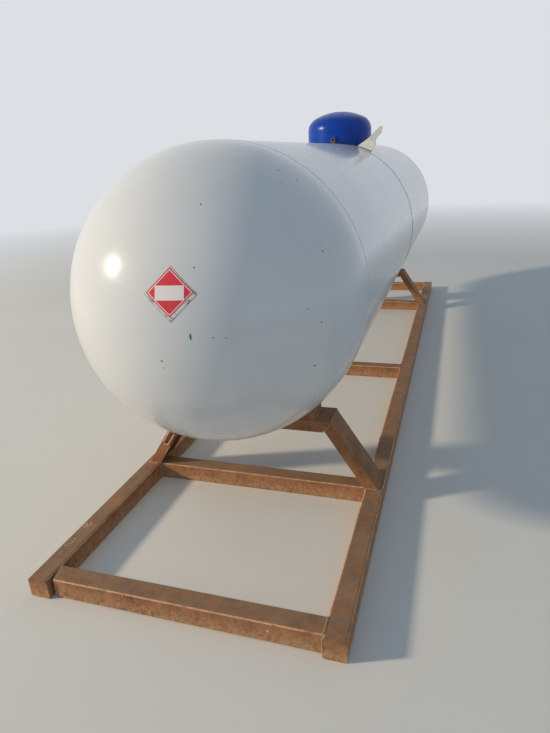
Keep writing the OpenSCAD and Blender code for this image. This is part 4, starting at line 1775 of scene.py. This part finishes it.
    def tie_loop(self) -> None:
        """Welds the tie loop's two rods to the front left leg."""
        angle = math.radians(self.loop_slope)
        along = Vector((math.cos(angle), 0, math.sin(angle)))
        across = Vector((math.sin(angle), 0, -math.cos(angle)))
        parts = []
        for number, offset in enumerate((-self.loop_half, self.loop_half)):
            for edge in (-1, 1):
                foot = Vector(self.loop_foot) + across * (offset + edge * self.loop_rod * 0.8)
                start = foot + along * (self.loop_length * 0.42)
                end = foot + along * (self.loop_length + 0.001)
                lean, seed = across * edge + Vector((0, -1, 0)), 140 + number * 2 + edge
                parts.append(self.run(start, end, lean, self.loop_bead, seed))
        self.weld("tie_loop_beads", parts, self.paints.skid_bead)
        Maker.dress("front_tie_loop", self.paints.wire)

    def marks(self) -> None:
        """Scatters the white paint flecks, the scratch and the scuffs that the front end shows."""
        random = Random(17)
        front = Vector((0, -1, 0))
        parts = [
            Maker.fleck(Vector(place), front, self.fleck_size, random, self.fleck_stretch)
            for place in self.flecks
        ]
        line = Maker.corners([Vector((*place, self.tube)) for place in self.scratch], 0.006)
        parts.append(Maker.rope(line, [UP] * len(line), self.scratch_radius, 6, 0.2, 150))
        rubbed = []
        outermost = self.corner - self.half_width
        for across, along, wide, far, count in self.scuffs:
            for _ in range(count):
                x = max(across + random.gauss(0, wide), outermost)
                place = Vector((x, along + random.gauss(0, far), self.tube))
                size = random.uniform(*self.scuff_sizes)
                rubbed.append(Maker.fleck(place, UP, size, random, self.scuff_stretch))
        for name, flakes, finish in (
            ("paint_flecks", parts, self.paints.chipped),
            ("runner_scuffs", rubbed, self.paints.sand),
        ):
            Maker.piece(name, Maker.join(flakes), finish, Body.TANK, Slot.SKID, FLAKE_SHARP)

    def build(self) -> None:
        """Dresses the skid and lays its beads."""
        for node in ("left_runner", "right_runner", *self.cross_nodes):
            Maker.dress(node, self.paints.tube)
        # The saddles' and end caps' rounded edges take the lighter edge finish, a painted
        # highlight.
        for saddle in ("front", "rear"):
            for part in self.saddle_parts:
                node, bevel = f"{saddle}_{part}", self.saddle_round
                Maker.dress(node, self.paints.skid, bevel, self.paints.skid_edge)
        for word in ("left_front", "left_rear", "right_front", "right_rear"):
            Maker.dress(f"{word}_cap", self.paints.skid, self.cap_round, self.paints.skid_edge)
        self.tube_beads()
        self.runner_seams()
        self.saddle_beads()
        self.tie_loop()
        self.marks()


@dataclass(frozen=True)
class PhotoCamera:
    """The camera that was fitted to the photo's edges."""

    place: tuple[float, float, float] = (0.791, -3.657, 1.387)
    focal_px: float = 558.694
    yaw: float = 0.3231
    pitch: float = 0.3549
    roll: float = -0.0558
    width: int = 550
    height: int = 733
    sensor: float = 36.0
    clip: tuple[float, float] = (0.05, 200.0)

    def axes(self) -> tuple[Vector, Vector, Vector]:
        """Works out which way the camera looks.

        Returns:
            Its right, up and forward directions.
        """
        east, north, flat = math.cos(self.yaw), math.sin(self.yaw), math.cos(self.pitch)
        forward = Vector((-north * flat, east * flat, -math.sin(self.pitch)))
        level = Vector((east, north, 0.0))
        upright = level.cross(forward)
        right = math.cos(self.roll) * level + math.sin(self.roll) * upright
        up = -math.sin(self.roll) * level + math.cos(self.roll) * upright
        return right, up, forward

    def on_tank(self, across: float, down: float, form: TankForm) -> Vector | None:
        """The point of the tank's skin under a pixel of the photo.

        Args:
            across: Pixels from the photo's left edge.
            down: Pixels from its top edge.
            form: The tank.

        Returns:
            The nearest point of the front head or shell, or None.
        """
        right, up, forward = self.axes()
        ray = forward + right * ((across - self.width / 2) / self.focal_px)
        ray += up * ((self.height / 2 - down) / self.focal_px)
        ray.normalize()
        start = Vector(self.place)
        centre = Vector((0, -form.seam - form.skirt, form.axis_height))
        gap = start - centre
        half = gap.dot(ray)
        inside = half * half - gap.dot(gap) + form.radius**2
        if inside > 0:
            point = start + ray * (-half - math.sqrt(inside))
            if point.y <= centre.y:
                return point
        flat, offset = Vector((ray.x, ray.z)), Vector((gap.x, gap.z))
        square, half = flat.dot(flat), flat.dot(offset)
        inside = half * half - square * (offset.dot(offset) - form.radius**2)
        if inside <= 0:
            return None
        return start + ray * ((-half - math.sqrt(inside)) / square)

    def build(self) -> None:
        """Adds the camera and makes it the scene's own."""
        data = bpy.data.cameras.new("photo_camera")
        data.sensor_width = self.sensor
        data.lens = self.focal_px * self.sensor / max(self.width, self.height)
        data.clip_start, data.clip_end = self.clip
        right, up, forward = self.axes()
        matrix = Matrix((right, up, -forward)).transposed().to_4x4()
        matrix.translation = Vector(self.place)
        camera = put_in_scene("photo_camera", data)
        camera.matrix_world = matrix
        bpy.context.scene.camera = camera


@dataclass
class Studio:
    """A plain pale floor and soft light."""

    floor_size: float = 80.0
    floor_colour: Colour = srgb(226, 223, 217)
    sky_colour: Colour = (0.66, 0.82, 1.0, 1.0)
    sky_strength: float = 0.42
    seen_colour: Colour = (0.93, 0.96, 1.0, 1.0)
    seen_strength: float = 0.77
    blend_from: float = 4.5
    blend_to: float = 13.0
    patch_colour: Colour = srgb(220, 217, 212)
    lamp_place: tuple[float, float, float] = (-16.2, -8.9, 7.2)
    lamp_aim: tuple[float, float, float] = (0.0, -0.6, 0.8)
    lamp_size: float = 1.6
    lamp_power: float = 3150.0
    lamp_colour: tuple[float, float, float] = (1.0, 0.86, 0.65)

    def floor(self) -> None:
        """Lays the floor, which fades into the sky's own colour far out."""
        shape = bmesh.new()
        bmesh.ops.create_grid(shape, x_segments=1, y_segments=1, size=self.floor_size / 2)
        mesh = bpy.data.meshes.new("studio_floor")
        shape.to_mesh(mesh)
        shape.free()
        g = Graph("studio_floor")
        squares = [g.maths("POWER", g.along(axis), 2.0) for axis in "XY"]
        far = g.span(g.maths("SQRT", g.maths("ADD", *squares)), self.blend_from, self.blend_to)
        patches = g.span(g.noise(0.9, 4), 0.35, 0.7, 0.0, 0.4)
        ground = g.blend(patches, self.floor_colour, self.patch_colour)
        colour = g.blend(far, ground, (0.0, 0.0, 0.0, 1.0))
        seen = seen_rays(g.tree)
        glow = g.times(far, g.span(seen, 0.0, 1.0, self.sky_strength, self.seen_strength))
        mesh.materials.append(
            g.finish(
                Base_Color=colour,
                Roughness=0.9,
                Specular_IOR_Level=0.0,
                Emission_Color=g.blend(seen, self.sky_colour, self.seen_colour),
                Emission_Strength=glow,
            )
        )
        floor = put_in_scene("studio_floor", mesh)

    def lamp(self) -> None:
        """Hangs the one soft round lamp, which points at the tank."""
        data = bpy.data.lights.new("key_lamp", "AREA")
        data.shape = "DISK"
        data.size, data.energy, data.color = self.lamp_size, self.lamp_power, self.lamp_colour
        lamp = put_in_scene("key_lamp", data)
        lamp.location = self.lamp_place
        aim = Vector(self.lamp_aim) - Vector(self.lamp_place)
        lamp.rotation_mode = "QUATERNION"
        lamp.rotation_quaternion = aim.to_track_quat("-Z", "Y")

    def build(self) -> None:
        """Sets the floor, the lamp and the world."""
        self.floor()
        self.lamp()
        world = bpy.data.worlds.new("studio_world")
        world.use_nodes = True
        tree = world.node_tree
        background = tree.nodes["Background"]
        background.inputs["Color"].default_value = self.sky_colour
        background.inputs["Strength"].default_value = self.sky_strength
        backdrop = tree.nodes.new("ShaderNodeBackground")
        backdrop.inputs["Color"].default_value = self.seen_colour
        backdrop.inputs["Strength"].default_value = self.seen_strength
        choose = tree.nodes.new("ShaderNodeMixShader")
        tree.links.new(seen_rays(tree), choose.inputs[0])
        tree.links.new(background.outputs[0], choose.inputs[1])
        tree.links.new(backdrop.outputs[0], choose.inputs[2])
        tree.links.new(choose.outputs[0], tree.nodes["World Output"].inputs["Surface"])
        bpy.context.scene.world = world
        bpy.context.scene.view_settings.view_transform = "Standard"


def main() -> None:
    """Builds every sub-assembly in order."""
    logging.basicConfig(level=logging.INFO, format="%(message)s")
    paints = Paints()
    form = TankForm()
    camera = PhotoCamera()
    camera.build()
    Studio().build()
    PressureShell(paints, form).build(camera)
    ValveHood(paints, form).build()
    Fittings(paints, form).build()
    SkidFrame(paints).build()


if __name__ == "__main__":
    main()
